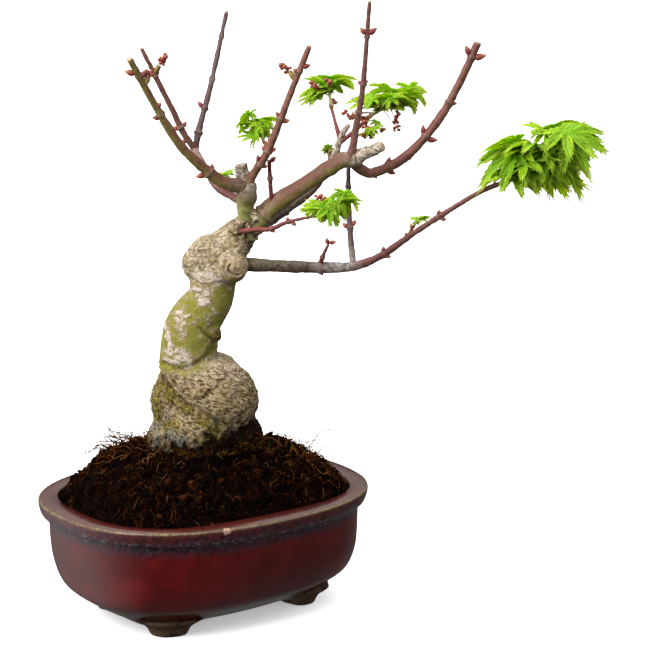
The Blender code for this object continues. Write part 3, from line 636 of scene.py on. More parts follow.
def makeSoil():
    # superellipse rings from the rim to the crown, closed below by one ring under the rim
    share = np.sqrt(np.linspace(0.0004, 1, soil["rows"]))[::-1, None]
    n = soil["power"] - 0.7 * (1 - share)
    x, y = superEllipse(around(soil["columns"])[None], soilHalfX * share, soilHalfY * share, n)
    z = soilHeight(x, y) + 1.0 * layered(np.stack([x, y, x * 0], -1), 2.2, 2, 31)
    under = np.stack([x[0] * 0.96, y[0] * 0.96, z[0] * 0 + soil["edge"] - 9], -1)
    x, y, z = (np.vstack([under[None, :, i], q]) for i, q in enumerate((x, y, z)))
    spots = fromPot(x, y, z)
    mossy = ease(lattice(spots, 9, 41), 0.1, 0.7) * ease(spots[..., 0], 14, 30) * ease(z, 72, 79)
    surface = closedGrid(spots, {"tone": 0, "loose": 0, "moss": mossy * 0.7})
    piece("soilMound", surface, peat, ["soil"])


def onSoil(dice, count, reach=0.97):
    # places dealt evenly over the mound, outside the trunk
    turn = dice.uniform(0, 2 * math.pi, count * 2)
    share = reach * np.sqrt(dice.uniform(0.08, 1, count * 2))
    x, y = superEllipse(turn, soilHalfX * share, soilHalfY * share, soil["power"])
    clear = np.hypot(x, y) > soil["trunkFoot"]
    return x[clear][:count], y[clear][:count]


def heapPlaces(dice, across, depth, wide, deep, count):
    # a cloud of places about one spot of the mound, in the pot's x and y
    x, y = toPot(dice.normal(across, wide, count), dice.normal(depth, deep, count))
    spread = np.maximum(soilShare(x, y) / 0.95, 1)
    return x / spread, y / spread


def strandPaths(dice, x, y, steps, length, curl, lift, lean=None):
    # each heading turns at its own rate; height follows the soil plus a low arch, or a rise for
    # strands that lean one way
    count = len(x)
    span = dice.uniform(*length, count)[:, None]
    t = np.linspace(0, 1, steps)[None]
    if lean is None:
        way = dice.uniform(0, 2 * math.pi, count)
    else:
        way = lean + treeTurn + dice.normal(0, 0.7, count)
    heading = (way[:, None] + dice.uniform(-curl, curl, count)[:, None] * t
               + 0.7 * np.sin(t * dice.uniform(3, 9, count)[:, None] + dice.uniform(0, 6, count)[:, None]))
    px = x[:, None] + np.cumsum(np.cos(heading) * span / steps, 1)
    py = y[:, None] + np.cumsum(np.sin(heading) * span / steps, 1)
    rise = dice.uniform(*lift, count)[:, None]
    arch = np.sin(math.pi * t * dice.uniform(0.5, 1, count)[:, None]) if lean is None else t ** 0.8
    pz = soilHeight(px, py) + 0.15 + rise * arch
    spread = np.maximum(soilShare(px, py), 0.98) / 0.98
    pz = np.where(spread > 1, np.maximum(pz, soil["edge"] + 0.5), pz)
    return fromPot(px / spread, py / spread, pz)


def cutOctahedron():
    # an octahedron with each face cut in four and the new corners pushed out to a ball
    octa = np.array([(1, 0, 0), (-1, 0, 0), (0, 1, 0), (0, -1, 0), (0, 0, 1), (0, 0, -1)], float)
    faces = ((0, 2, 4), (2, 1, 4), (1, 3, 4), (3, 0, 4), (2, 0, 5), (1, 2, 5), (3, 1, 5), (0, 3, 5))
    edges, fine, points = {}, [], [tuple(p) for p in octa]
    for a, b, c in faces:
        mids = []
        for i, j in ((a, b), (b, c), (c, a)):
            key = (min(i, j), max(i, j))
            if key not in edges:
                edges[key] = len(points)
                points.append(tuple(unit((np.array(points[i]) + np.array(points[j])) / 2)))
            mids.append(edges[key])
        fine += [(a, mids[0], mids[2]), (mids[0], b, mids[1]), (mids[2], mids[1], c), tuple(mids)]
    return np.array(points), np.array(fine)


def crumbSurface(dice, spots, tone, largest=1.85):
    # each lump's corners pushed in and out by dice, stretched, turned and set at its spot; sizes
    # run from smallest to largest with the cube of the dice
    lump, fine = cutOctahedron()
    count, corners = len(spots), len(lump)
    smallest = 0.35
    size = smallest + (largest - smallest) * dice.uniform(0, 1, count) ** 3
    axes = np.linalg.qr(dice.normal(size=(count, 3, 3)))[0]
    shape = lump[None] * dice.uniform(0.55, 1.35, (count, corners, 1)) * dice.uniform(0.5, 1.2, (count, 1, 3))
    shape = np.einsum("nij,nkj->nki", axes, shape) * size[:, None, None]
    return dict(points=(spots[:, None] + shape).reshape(-1, 3), quads=np.zeros((0, 4), int),
                tris=(fine[None] + (np.arange(count) * corners)[:, None, None]).reshape(-1, 3),
                marks={"tone": np.repeat(tone, corners), "loose": np.ones(count * corners),
                       "moss": np.zeros(count * corners)})


def makeCrumbs(dice):
    # loose crumbs over the whole mound, and heaps of them against the trunk
    x, y = onSoil(dice, soil["crumbs"], 0.985)
    spots = fromPot(x, y, soilHeight(x, y) + 0.3)
    crumbs = [crumbSurface(dice, spots, dice.uniform(0, 1, len(x)) ** 5 * 0.50, largest=2.4)]
    for across, depth, wide, deep, count in soil["heaps"]:
        x, y = heapPlaces(dice, across, depth, wide, deep, count)
        spots = fromPot(x, y, soilHeight(x, y) + np.abs(dice.normal(0, 0.8, count)))
        crumbs.append(crumbSurface(dice, spots, dice.uniform(0, 1, count) ** 4 * 0.50))
    piece("peatCrumbs", joined(crumbs), peat, smooth=False)


def makeStrands(dice):
    # fibres, roots and wisps as three-sided tubes that thin to 0.45 of their radius; each row:
    # places, points along it, lengths, curl, rises, radii, tones, power of the tone's dice, lean
    rows = [(onSoil(dice, soil["strands"]), 6, (2, 9), 1.6, (-0.4, 2.6), (0.04, 0.15), (0, 0.88), 2.4, None),
            (onSoil(dice, soil["roots"], 0.93), 11, (8, 22), 0.9, (0.1, 2.4), (0.07, 0.22), (0.3, 0.95), 2,
             None)]
    for across, depth, wide, deep, count, length, lift, lean in soil["wisps"]:
        rows.append((heapPlaces(dice, across, depth, wide, deep, count), 12, length, 1.4, lift,
                     (0.17, 0.32), (0.15, 0.85), 1.0, lean))
    bits = []
    for (x, y), steps, length, curl, lift, thick, tones, power, lean in rows:
        paths = strandPaths(dice, x, y, steps, length, curl, lift, lean)
        radii = dice.uniform(*thick, len(paths))[:, None] * np.linspace(1, 0.45, steps)[None]
        tone = tones[0] + (tones[1] - tones[0]) * dice.uniform(0, 1, len(paths)) ** power
        bits.append(tubes(paths, radii, 3, {"tone": tone, "loose": 1, "moss": 0}))
    # the long wiry roots that arch out to the left and right of the mound
    for wire in soil["wires"]:
        path = smoothRoute(np.column_stack([wire, np.linspace(0.30, 0.16, len(wire))]), 9)
        path[:, :3] += 0.5 * np.stack([lattice(path[:, :3], 3, i) for i in (1, 2, 3)], -1)
        bits.append(tubes(path[None, :, :3], path[None, :, 3], 5,
                          {"tone": dice.uniform(0.55, 0.8), "loose": 1, "moss": 0}))
    piece("peatStrands", joined(bits), peat)


def makeMoss(dice):
    # short leaning blades in tufts on the crown, to the right of the trunk
    count = soil["mossTufts"]
    across = 16 + 26 * dice.uniform(0, 1, count) ** 1.3
    depth = dice.normal(2, 9, count)
    root = np.stack([across, depth, soilHeight(*toPot(across, depth))], -1)
    lean = dice.normal(0, 0.5, (count, 3))
    lean[:, 2] = 1
    tall = dice.uniform(0.8, 2.6, count)[:, None, None]
    paths = root[:, None] + unit(lean)[:, None] * tall * np.linspace(0, 1, 4)[None, :, None]
    radii = np.array([[0.28, 0.26, 0.17, 0.05]]) * dice.uniform(0.7, 1.2, (count, 1))
    green = 0.5 + 0.5 * dice.uniform(0, 1, count)
    piece("mossTufts", tubes(paths, radii, 3, {"tone": 0, "loose": 0, "moss": green}), peat)


peat = peatFinish()
makeSoil()
soilDice = np.random.default_rng(soil["seed"])
makeCrumbs(soilDice)
makeStrands(soilDice)
makeMoss(soilDice)
print("soil made")


# ---- trunk

# core and burls are balls (across, depth, height, radius); spiral to groove are lines, pale to moss
# ellipses (across, height, half width, half height, turn in degrees), both seen from the front; from
# skin on, pairs of heights between which a look comes or goes
trunk = dict(core=((0, 0, 66, 22), (-1, 0, 88, 20), (-2, 0, 104, 18), (-7, 1, 118, 14.2),
                   (-6.2, 1, 131, 13.5), (-3.8, 0.5, 140, 12.5), (3.6, 0, 151, 10.8), (5.3, 0, 160, 10.9),
                   (8, 0, 169, 11), (14, 1, 178, 8.7), (20, 1, 184, 7.2), (23.5, 1, 188.5, 5.8)),
             burls=((7, -4, 103, 19.2), (-10.5, 2, 101, 15.4), (13, -3, 84, 15), (-12.5, 0, 83, 14.5),
                    (0, -8, 84, 19), (2, 9, 86, 19), (4, 6, 108, 16), (-1.5, 0, 167.5, 8),
                    (4.6, 0, 171.2, 10.8), (14.6, -7.5, 167.6, 7.6), (15.5, -2, 177.5, 7.6),
                    (5.2, -5, 136, 3.2)), rows=250, columns=256, meld=2.2,
             spiral=((-20.5, 116), (-11.3, 105.8), (-0.3, 101), (7.3, 95.6), (12.5, 87.4), (15.8, 80)),
             collar=((-19, 121), (-12, 119.5), (-5, 120.4), (2, 124.7), (5, 128)),
             seam=((0.6, 107.7), (4, 111), (8.2, 113), (12, 118)),
             groove=((-1.2, 139), (2, 136.2), (5, 133)), scarAt=(17.2, 168.3), scarSize=5.6,
             pale=((-7, 144.2, 6.2, 3.0, -14), (0.5, 153.5, 7.0, 3.4, -36), (-16.5, 134, 2.2, 9, 14),
                   (-11, 124, 8, 5.5, -20), (2, 163.5, 9, 2.6, -6), (6, 147, 3.2, 1.4, -40),
                   (15, 116.5, 7, 4.5, -40)), belly=((-4, 134.5, 9, 9, 0), (8, 152, 6, 10, -20)),
             collarBark=((21, 184.5, 8, 4.6, 20), (25, 178, 3.5, 6, -20)),
             moss=((-17, 108, 8, 4, -42), (-8, 102, 9, 3, -20), (3, 96, 9, 3.6, -30),
                   (-22, 100, 3.4, 9, 0), (-14, 92, 5, 5, 0), (8, 87, 8, 4, -25)),
             knob=((4.2, -5.5, 134.6, 1.6), (6.6, -6.6, 134.6, 3.0), (8.6, -7.2, 134.4, 2.3)), foot=68,
             outside=46, marches=26, backFolds=(104, 122), skin=(119.5, 123), skinEnd=(156, 163),
             damp=(88, 101), earth=(85, 91), stain=(87, 101), age=(112, 128))


def lineDistance(across, height, line):
    # least distance from each place to the line's pieces, in the front's plane
    line = np.array(line, float)
    best = np.full(np.shape(across), 1e9)
    for a, b in zip(line, line[1:]):
        d = b - a
        t = np.clip(((across - a[0]) * d[0] + (height - a[1]) * d[1]) / (d @ d), 0, 1)
        best = np.minimum(best, np.hypot(across - a[0] - t * d[0], height - a[1] - t * d[1]))
    return best


def spotMask(across, height, blobs):
    # 1 inside any of the ellipses, fading to 0 over their edges
    total = np.zeros(np.shape(across))
    for a, h, wide, tall, turn in blobs:
        c, s = math.cos(math.radians(turn)), math.sin(math.radians(turn))
        u = ((across - a) * c + (height - h) * s) / wide
        v = ((height - h) * c - (across - a) * s) / tall
        total = np.maximum(total, 1 - ease(np.hypot(u, v), 0.6, 1.15))
    return total


def trunkDistance(spots):
    # distance to the core's balls, melted with each burl by a polynomial minimum
    core = smoothRoute(trunk["core"], 5)
    near = np.full(spots.shape[:-1], 1e9)
    for ball in core:
        near = np.minimum(near, np.sqrt(((spots - ball[:3]) ** 2).sum(-1)) - ball[3])
    k = trunk["meld"]
    for burl in trunk["burls"]:
        other = np.sqrt(((spots - np.array(burl[:3])) ** 2).sum(-1)) - burl[3]
        h = np.maximum(k - np.abs(near - other), 0) / k
        near = np.minimum(near, other) - h * h * k / 4
    return near


def makeTrunk():
    # level rings about the core; each point walks in along its spoke, by its distance to the
    # form, until it meets it; then noise, folds and cracks push it in or out
    top = trunk["core"][-1]
    foot = trunk["foot"]
    share = np.linspace(0, 1, trunk["rows"])
    heights = foot + (top[2] + top[3] - 0.05 - foot) * np.sin(share * math.pi / 2) ** 0.93
    core = smoothRoute(trunk["core"], 24)
    middle = np.stack([np.interp(heights, core[:, 2], core[:, i]) for i in (0, 1)] + [heights], -1)
    spoke = spokes(around(trunk["columns"]))
    reach = np.full((trunk["rows"], trunk["columns"]), float(trunk["outside"]))
    for _ in range(trunk["marches"]):
        spots = middle[:, None] + spoke[None] * reach[..., None]
        reach = np.maximum(reach - trunkDistance(spots), 0.02)
    spots = middle[:, None] + spoke[None] * reach[..., None]

    across, depth, height = spots[..., 0], spots[..., 1], spots[..., 2]
    front = ease(-depth, -6, 2)
    rough = layered(spots, 2.6, 3, 51)
    broad = layered(spots, 9, 3, 57)
    wave = across + 0.9 * lattice(spots, 3, 61), height + 0.9 * lattice(spots, 3, 63)

    def fold(far, width):
        # a crease that fades as exp(-(distance / width)^2)
        return np.exp(-(far / width) ** 2)

    fromSpiral = lineDistance(*wave, trunk["spiral"])
    spiral = fold(fromSpiral, 1.5) * front
    ridge = np.cos(fromSpiral * 2.5) * fold(fromSpiral, 6) * front * ease(fromSpiral, 0.8, 2.2)
    collar, seam, groove = (fold(lineDistance(*wave, trunk[key]), width) * front
                            for key, width in (("collar", 1.1), ("seam", 0.8), ("groove", 0.6)))
    # the same folds go on round the back as two slow spirals
    bearing = np.arctan2(depth, across - middle[:, None, 0])
    lower, upper = trunk["backFolds"]
    back = (1 - front) * fold(height - lower - 5 * np.sin(bearing), 1.6)
    back = back + (1 - front) * 0.8 * fold(height - upper + 4 * np.cos(bearing), 1.4)

    # young skin in the middle of the trunk, green where it is smooth, with pale flakes
    skin = (ease(height + 3 * broad - 0.2 * across, *trunk["skin"])
            * (1 - ease(height + 4 * broad - 0.3 * across, *trunk["skinEnd"])))
    skin = skin * (1 - ease(across - 0.9 * (height - 122), 2, 5) * (1 - ease(height, 128, 131)))
    old = 1 - skin
    green = skin * ease(broad + 0.55, -0.25, 0.1)
    paleSpots = spotMask(across + 1.2 * rough, height + 1.2 * rough, trunk["pale"]) * front
    belly = spotMask(across, height, trunk["belly"])
    level = layered(spots * np.array((1, 1, 2.2)), 3.6, 3, 71)
    ragged = ease(level, 0.3, 0.5) * skin * (1 - front * 0.5) * (1 - 0.9 * belly)
    flake = paleSpots * ease(level, -0.6, -0.1) * (1 - 0.4 * ease(-height, -121, -118)) + 0.8 * ragged
    flake = np.clip(flake, 0, 1)
    green = green * (1 - flake)

    # the round pruning scar, with a curved crack in it and painted shade round its rim
    scar, scarSize = trunk["scarAt"], trunk["scarSize"]
    fromScar = np.hypot(across - scar[0], height - scar[1])
    scarred = (1 - ease(fromScar, scarSize - 0.8, scarSize + 0.3)) * front
    ringCrack = fold(fromScar - 3.6 + 0.5 * rough, 0.45) * scarred
    ringCrack = ringCrack * ease(scar[0] + 0.8 - across, -2.6, 0.6) * ease(scar[1] + 1.6 - height, -1, 1)
    rimShade = fold(fromScar - scarSize - 0.3, 0.7) * front

    # old bark: cracks where a noise crosses zero, coarse bark under the boughs, moss and earth low
    fissure = ease(np.abs(layered(spots, 5.5, 3, 81)), 0.0, 0.09)
    cracks = (1 - fissure) * old * ease(lattice(spots, 8, 83), -0.2, 0.4)
    collarBark = spotMask(across + rough, height + rough, trunk["collarBark"])
    low = 1 - ease(height + 3 * broad, *trunk["damp"])
    mossy = np.clip(spotMask(across, height, trunk["moss"]) * front * ease(rough, -1.3, -0.2), 0, 1) * 0.9
    blue = np.clip(low * front * ease(layered(spots, 6, 2, 91), 0.0, 0.5), 0, 1) * 0.8
    above = height - 0.22 * (across + 6) * front + 2.5 * broad
    earth = 1 - ease(above + 3.6 * rough, *trunk["earth"])
    stain = 1 - ease(above + 4 * layered(spots, 4.5, 3, 97), *trunk["stain"])
    stain = stain * ease(layered(spots, 1.7, 3, 99), -0.25, 0.3)
    earth = np.maximum(earth, 0.72 * stain)
    # the dark mark: real cracks, the scar's ring crack and coarse collar bark, with painted shade in the
    # folds, the troughs between ridges and the ring round the scar
    crack = np.clip(0.75 * spiral * ease(rough, -0.5, 0.6)
                    + 0.6 * ease(-ridge, 0.15, 0.8) * ease(level, -0.5, 0.1)
                    + 0.35 * collar * ease(rough, -0.4, 0.4)
                    + 0.8 * seam + 0.55 * groove + 0.5 * back + 0.75 * cracks + ringCrack
                    + 0.3 * rimShade * ease(rough, -0.4, 0.4)
                    + 0.9 * collarBark * ease(layered(spots, 1.8, 2, 95), -0.35, 0.1), 0, 1)

    age = 1 - ease(height + 2 * broad, *trunk["age"])
    # how far each feature stands out or cuts in at full strength, in millimetres
    relief = (0.55 * rough * old + 0.10 * rough * skin + 0.55 * broad * old + 0.35 * ridge
              - 1.5 * spiral - 1.2 * collar - 0.8 * seam - 0.6 * groove - 1.1 * back
              - 0.7 * cracks + 0.30 * flake - 0.9 * ringCrack + 0.25 * scarred * rough - 0.25 * rimShade
              + 0.8 * collarBark * rough)
    relief = relief * ease(reach, 0.5, 5)
    spots = spots + spoke[None] * relief[..., None]
    surface = closedGrid(spots, dict(green=green, flake=flake, scar=scarred, moss=mossy, blue=blue,
                                     crack=crack, earth=earth, age=age))
    piece("trunkBark", surface, oldBark, ["trunk"])


def makeKnob():
    # the small dark knob under the first bend: a short tube, its radius times 1 + lobes
    knob = smoothRoute(trunk["knob"], 5)
    turn = around(28)
    wide = knob[None, :, 3, None] * (1 + 0.14 * np.cos(3 * turn) + 0.12 * np.sin(7 * turn))
    surface = tubes(knob[None, :, :3], wide, 28,
                    dict(green=0.2, flake=0, scar=0, moss=0.3, blue=0, crack=0, earth=0, age=1))
    # most of the knob takes the dark colour of the cracks
    surface["marks"]["crack"] = np.clip(0.70 + 0.45 * lattice(surface["points"], 1.2, 5), 0, 1)
    piece("trunkKnob", surface, oldBark)


def makeCling():
    # soil, moss and root hairs that climb the trunk's foot: places march in to its surface
    dice = np.random.default_rng(soil["seed"] + 1)
    count = soil["cling"]
    turn = dice.uniform(0, 2 * math.pi, count)
    rise = np.abs(dice.normal(0, 1, count)) * (2.0 + 1.1 * np.sin(turn * 2 + 0.4) + 0.9 * np.sin(turn * 7)
                                              + 3.0 * np.maximum(np.cos(turn), 0) ** 2)
    height = soil["crown"] + np.maximum(rise, 0)
    way = spokes(turn)
    spots = way * soil["clingFrom"] + np.stack([0 * turn, 0 * turn, height], -1)
    for _ in range(soil["clingMarches"]):
        spots = spots - way * trunkDistance(spots)[:, None]
    half = count // 2
    rest = count - half
    crumbs = crumbSurface(dice, spots[:half] - way[:half] * 0.2, dice.uniform(0, 1, half) ** 2 * 0.6,
                          largest=1.0)
    tips = unit(way[half:] * 0.5 + dice.normal(0, 0.6, (rest, 3)) + np.array((0, 0, 0.5)))
    length = np.linspace(0, 1, 5)[None, :, None]
    paths = spots[half:, None] + tips[:, None] * length * dice.uniform(0.8, 3.2, (rest, 1, 1))
    radii = np.array([[0.22, 0.2, 0.16, 0.11, 0.05]]) * dice.uniform(0.6, 1.2, (rest, 1))
    green = (dice.uniform(0, 1, rest) > 0.6) * 0.9
    hairs = tubes(paths, radii, 3, {"tone": dice.uniform(0.2, 0.8, rest), "loose": 1, "moss": green})
    piece("peatOnTrunk", joined([crumbs, hairs]), peat)


oldBark = oldBarkFinish()
makeTrunk()
makeKnob()
makeCling()
print("trunk made")


# ---- boughs and twigs

# shootFinish's colours: upper side, under side, patches
boughBark = shootFinish("redOliveBough", (0.120, 0.036, 0.017), (0.155, 0.122, 0.028), (0.060, 0.028, 0.013))
redShoot = shootFinish("redBrownShoot", (0.165, 0.046, 0.034), (0.150, 0.068, 0.038), (0.075, 0.027, 0.020))
darkShoot = shootFinish("darkShoot", (0.150, 0.038, 0.036), (0.140, 0.060, 0.042), (0.060, 0.024, 0.022))
plumShoot = shootFinish("plumShoot", (0.066, 0.024, 0.028), (0.078, 0.042, 0.036), (0.032, 0.014, 0.015))
greyShoot = shootFinish("greyShoot", (0.100, 0.058, 0.036), (0.150, 0.130, 0.048), (0.055, 0.034, 0.022), 0.6)
crimsonShoot = shootFinish("crimsonShoot", (0.165, 0.018, 0.019), (0.125, 0.026, 0.022),
                           (0.060, 0.010, 0.010), 0.45)

# each limb: bark, number of sides, how blunt and bare its cut end is, joints as shares of its
# length, buds as (share, side, length) with side -1 to the left of its way and 1 to the right, a
# burl as (share, how much). The looks green, grey and aged are full up to the first length in
# millimetres and gone at the second, or the other way round, and as strong as their Share; pale lies
# between its two lengths; rough is how far grey bark is pushed in and out
limbs = {
    "leader": dict(bark=greyShoot, sides=48, green=(14, 23), grey=(29, 18), greyShare=0.55, rough=0.8,
                   cut=0.15, aged=(36, 10), agedShare=0.6, burl=(0.62, 0.2),
                   route=((20.4, 0.5, 180, 4.6), (20.8, 0, 188, 3.8), (20.8, -1, 195, 3.7),
                          (21.4, -2, 202, 4.6), (20, -2, 209, 3.4), (18.8, -2, 215.5, 2.9))),
    "bough_left": dict(bark=boughBark, sides=34, aged=(2, 14), agedShare=0.6, cut=1.0,
                       joints=(0.215, 0.64, 0.89),
                       buds=((0.902, -1, 4.6), (0.874, 1, 4.0), (0.685, 1, 2.6), (0.627, -1, 3.2),
                             (0.207, 1, 2.8), (0.216, -1, 4.2)),
                       route=((19.5, -3, 205, 3.2), (12, -6, 207, 2.9), (5.9, -9, 211, 2.7),
                              (-7.6, -17, 225, 2.1), (-18, -24, 243, 1.8), (-29.5, -35, 267, 1.5))),
    "bough_left_back": dict(bark=darkShoot, sides=26, grey=(34, 26), greyShare=0.35, rough=0.3, cut=0.2,
                            route=((20, 1, 197, 2), (14.5, 6, 199, 1.8), (7, 10, 203, 1.7),
                                   (1.6, 15, 210.5, 1.7), (-4.6, 20, 220.5, 1.9))),
    "twig_left_inner": dict(bark=darkShoot, sides=22, joints=(0.24, 0.74), cut=0.7,
                            buds=((0.741, 1, 1.6), (0.231, 1, 2.8), (0.231, -1, 3.2), (0.104, -1, 2.8)),
                            route=((-3.6, 19.6, 219.5, 1.4), (-9, 17, 228, 1.5), (-13.8, 14, 239, 1.4),
                                   (-21.4, 8, 256, 1.2), (-27.3, 4, 269, 0.9))),
    "twig_left_tall": dict(bark=plumShoot, sides=22, joints=(0.12, 0.3, 0.52, 0.82),
                           buds=((0.304, -1, 3.2),), cut=0.9,
                           route=((-3.8, 20.5, 219.5, 1.4), (-2.4, 22.5, 227, 1.6), (-0.1, 27, 236.5, 1.4),
                                  (3.7, 34, 251, 1.25), (10.8, 44, 284, 1))),
    "twig_centre_left": dict(bark=redShoot, sides=24, joints=(0.2, 0.3, 0.52, 0.83), cut=1.0,
                             buds=((0.214, -1, 3.0), (0.19, 1, 2.6), (0.291, -1, 2.6), (0.314, 1, 2.6),
                                   (0.532, -1, 2.6), (0.507, 1, 3.4), (0.857, 1, 3.6), (0.82, -1, 2.6)),
                             route=((21.5, -2, 203.5, 2.4), (24.5, -4, 210.5, 2.1), (31, -10, 221, 1.8),
                                    (36.7, -14, 234.7, 1.65), (45.3, -20, 257, 1.45),
                                    (51.3, -24, 272, 1.25))),
    "bough_main_right": dict(bark=boughBark, sides=48, green=(4, 30), greenShare=0.6, grey=(67, 55),
                             rough=0.35, aged=(1, 9), cut=1.0, joints=(0.17,), burl=(0.77, 0.26),
                             route=((20, 1, 182.5, 4.6), (26.6, 2, 187.5, 4.5), (34.4, 1, 195.6, 4.3),
                                    (49.5, 1, 206, 3.7), (63.8, 3, 215, 3.4), (71.5, 5, 217.3, 3.5),
                                    (77, 4, 219.7, 2.8), (85.3, 0, 223.7, 2.5))),
    "bough_right_curved": dict(bark=redShoot, sides=30, joints=(0.23, 0.47, 0.67, 0.92), cut=1.0,
                               buds=((0.927, -1, 4.6), (0.918, 1, 5.4), (0.471, -1, 3.8), (0.461, 1, 4.6),
                                     (0.235, -1, 3.0), (0.22, 1, 3.8), (0.669, 1, 2.2), (0.333, 1, 1.8),
                                     (0.147, 1, 1.8)),
                               route=((71, 6, 216.5, 2.6), (75.5, 9.5, 211.5, 2.6),
                                      (82.1, 12, 209.9, 2.45), (96.8, 17, 217, 2.25),
                                      (111.4, 20, 232.7, 2.1), (122.1, 20, 251.6, 1.9),
                                      (130.3, 17, 271, 1.75))),
    "twig_vertical": dict(bark=darkShoot, sides=22, joints=(0.3, 0.48, 0.78), cut=0.9,
                          buds=((0.8, -1, 3.8), (0.8, 1, 4.4), (0.48, -1, 1.8), (0.49, 1, 1.6)),
                          route=((70, 3.5, 217, 2), (71.3, 3, 223, 1.85), (72.9, 2, 233.5, 1.5),
                                 (75.9, -2, 252.7, 1.25), (78.6, -10, 291.5, 0.95))),
    "twig_short_red": dict(bark=crimsonShoot, sides=18, joints=(0.6,), cut=0.2, buds=((0.97, 1, 3.4),),
                           route=((33.8, 0, 196, 1.3), (32.8, -2, 203, 1.1), (32.1, -4, 217.6, 1.05))),
    "bough_back_right": dict(bark=darkShoot, sides=28, aged=(30, 52), grey=(64, 46),
                             joints=(0.13, 0.3, 0.72), cut=0.9,
                             route=((22, 3, 181, 2.4), (29.2, 8, 184.2, 1.9), (39.6, 14, 191, 1.7),
                                    (53.1, 21, 201, 1.7), (62, 25, 215, 1.8), (66, 26.5, 225.5, 1.5),
                                    (69.5, 25, 231, 1.15))),
    "twig_top_left": dict(bark=crimsonShoot, sides=18, cut=0,
                          route=((65.5, 26.3, 224.5, 1), (63.8, 28.2, 229.5, 0.95), (61.3, 32, 238.5, 0.8))),
    "twig_top_right": dict(bark=crimsonShoot, sides=18, cut=0,
                           route=((65.5, 26.3, 222.5, 1), (70, 25.8, 226, 1), (79.5, 23, 234.8, 1))),
    "bough_right_long": dict(bark=darkShoot, sides=30, joints=(0.298, 0.516, 0.753), cut=0, aged=(42, 60),
                             pale=(42, 62), green=(2, 40), greenShare=0.2,
                             buds=((0.516, -1, 2.6), (0.516, 1, 2.4), (0.753, -1, 2.8), (0.753, 1, 2.8),
                                   (0.298, 1, 2.0), (0.615, -1, 1.8)),
                             route=((12, -2, 168.5, 3.4), (24, -2, 167.8, 3.05), (39.2, -1, 166.9, 2.8),
                                    (56, 0, 166.2, 2.7), (71, 0, 166.7, 2.25), (84.6, -4, 172.5, 1.8),
                                    (103.3, -14, 187.3, 1.4), (127.2, -27, 204.7, 1.2),
                                    (139.5, -33, 211.1, 1.1))),
    "twig_riser": dict(bark=plumShoot, sides=20, joints=(0.3, 0.62), cut=0, pale=(-10, 9),
                       buds=((0.3, -1, 3.0), (0.312, 1, 3.2)),
                       route=((71.6, 0.5, 166.8, 1.5), (70.4, 6, 179, 1.4), (69.4, 12, 197, 1.15),
                              (69.7, 16, 216, 1), (72.5, 14, 225.3, 1))),
    "twig_front": dict(bark=crimsonShoot, sides=20, joints=(0.45, 0.7), cut=0,
                       buds=((0.45, 1, 1.4), (0.683, -1, 1.8), (0.731, 1, 2.8)),
                       route=((19, -5, 184, 1.4), (26.1, -13, 186.2, 1.2), (33.2, -18, 187.2, 1.15),
                              (41.1, -24, 191.4, 0.95), (52.5, -31.5, 195.1, 0.7))),
    "twig_spur": dict(bark=crimsonShoot, sides=16, cut=0, joints=(0.4,),
                      buds=((0.95, -1, 3.0), (0.98, 1, 3.0)),
                      route=((56, -0.5, 166.8, 1), (57, -3, 171.5, 0.95), (60.1, -5, 178.6, 0.7))),
    "spur_left": dict(bark=crimsonShoot, sides=16, cut=0,
                      route=((31, -10, 221.2, 1), (31.2, -6.5, 223.2, 1), (30.2, -4, 225.2, 0.9))),
    "spur_leader": dict(bark=greyShoot, sides=16, cut=0,
                        route=((20.5, -1, 204, 1), (16.5, 3, 205.2, 0.9), (14.8, 4.8, 206, 0.8))),
    "spur_back": dict(bark=crimsonShoot, sides=16, cut=0,
                      route=((61, 24.5, 213, 1), (60.3, 26.5, 215.6, 0.8), (60.5, 27, 216.7, 0.7))),
    "spur_right": dict(bark=redShoot, sides=16, cut=0,
                       route=((97.6, -11, 182.9, 1), (98.4, -11.7, 185.6, 0.8), (98.8, -12, 186.8, 0.7))),
}
budScales = []
# of every limb: rows 0.6 mm apart show the joints; flare, jointSwell and wobble are shares of the
# radius, ripple is in millimetres; the foot's flare reaches 1.6 radii, a joint 0.85 mm either way and
# a burl a share of the whole length
limbSkin = dict(rowLength=0.6, flare=0.3, flareReach=1.6, jointReach=0.85, jointSwell=0.48, burlReach=0.13,
                ripple=0.16, wobble=0.07)


def pathLength(path):
    # distance along the path from its start to each place
    return np.concatenate([[0], np.cumsum(np.linalg.norm(np.diff(path, axis=0), axis=1))])


def budSurface(root, way, length, width, dice, fresh=0.0):
    # an egg turned about its way, radius sin(pi t^0.72)^0.75 (1 - t / 5): wide a third of the way
    # up and pointed, with the edges of its scales winding round it
    sides = 14
    t = np.linspace(0, 1, 15)
    egg = np.sin(math.pi * np.clip(t, 0.02, 1) ** 0.72) ** 0.75 * (1 - 0.2 * t) + 0.02
    scale = np.abs(((t[:, None] * 3.2 + around(sides)[None] / (2 * math.pi) * 2) % 1.0))
    wide = width * egg[:, None] * (0.94 + 0.12 * scale)
    curve = root + way[None] * (t * length)[:, None]
    return tubes(curve[None], wide[None], sides,
                 {"tip": t[None], "scale": scale[None], "spray": dice.uniform(0, 1), "fresh": fresh})


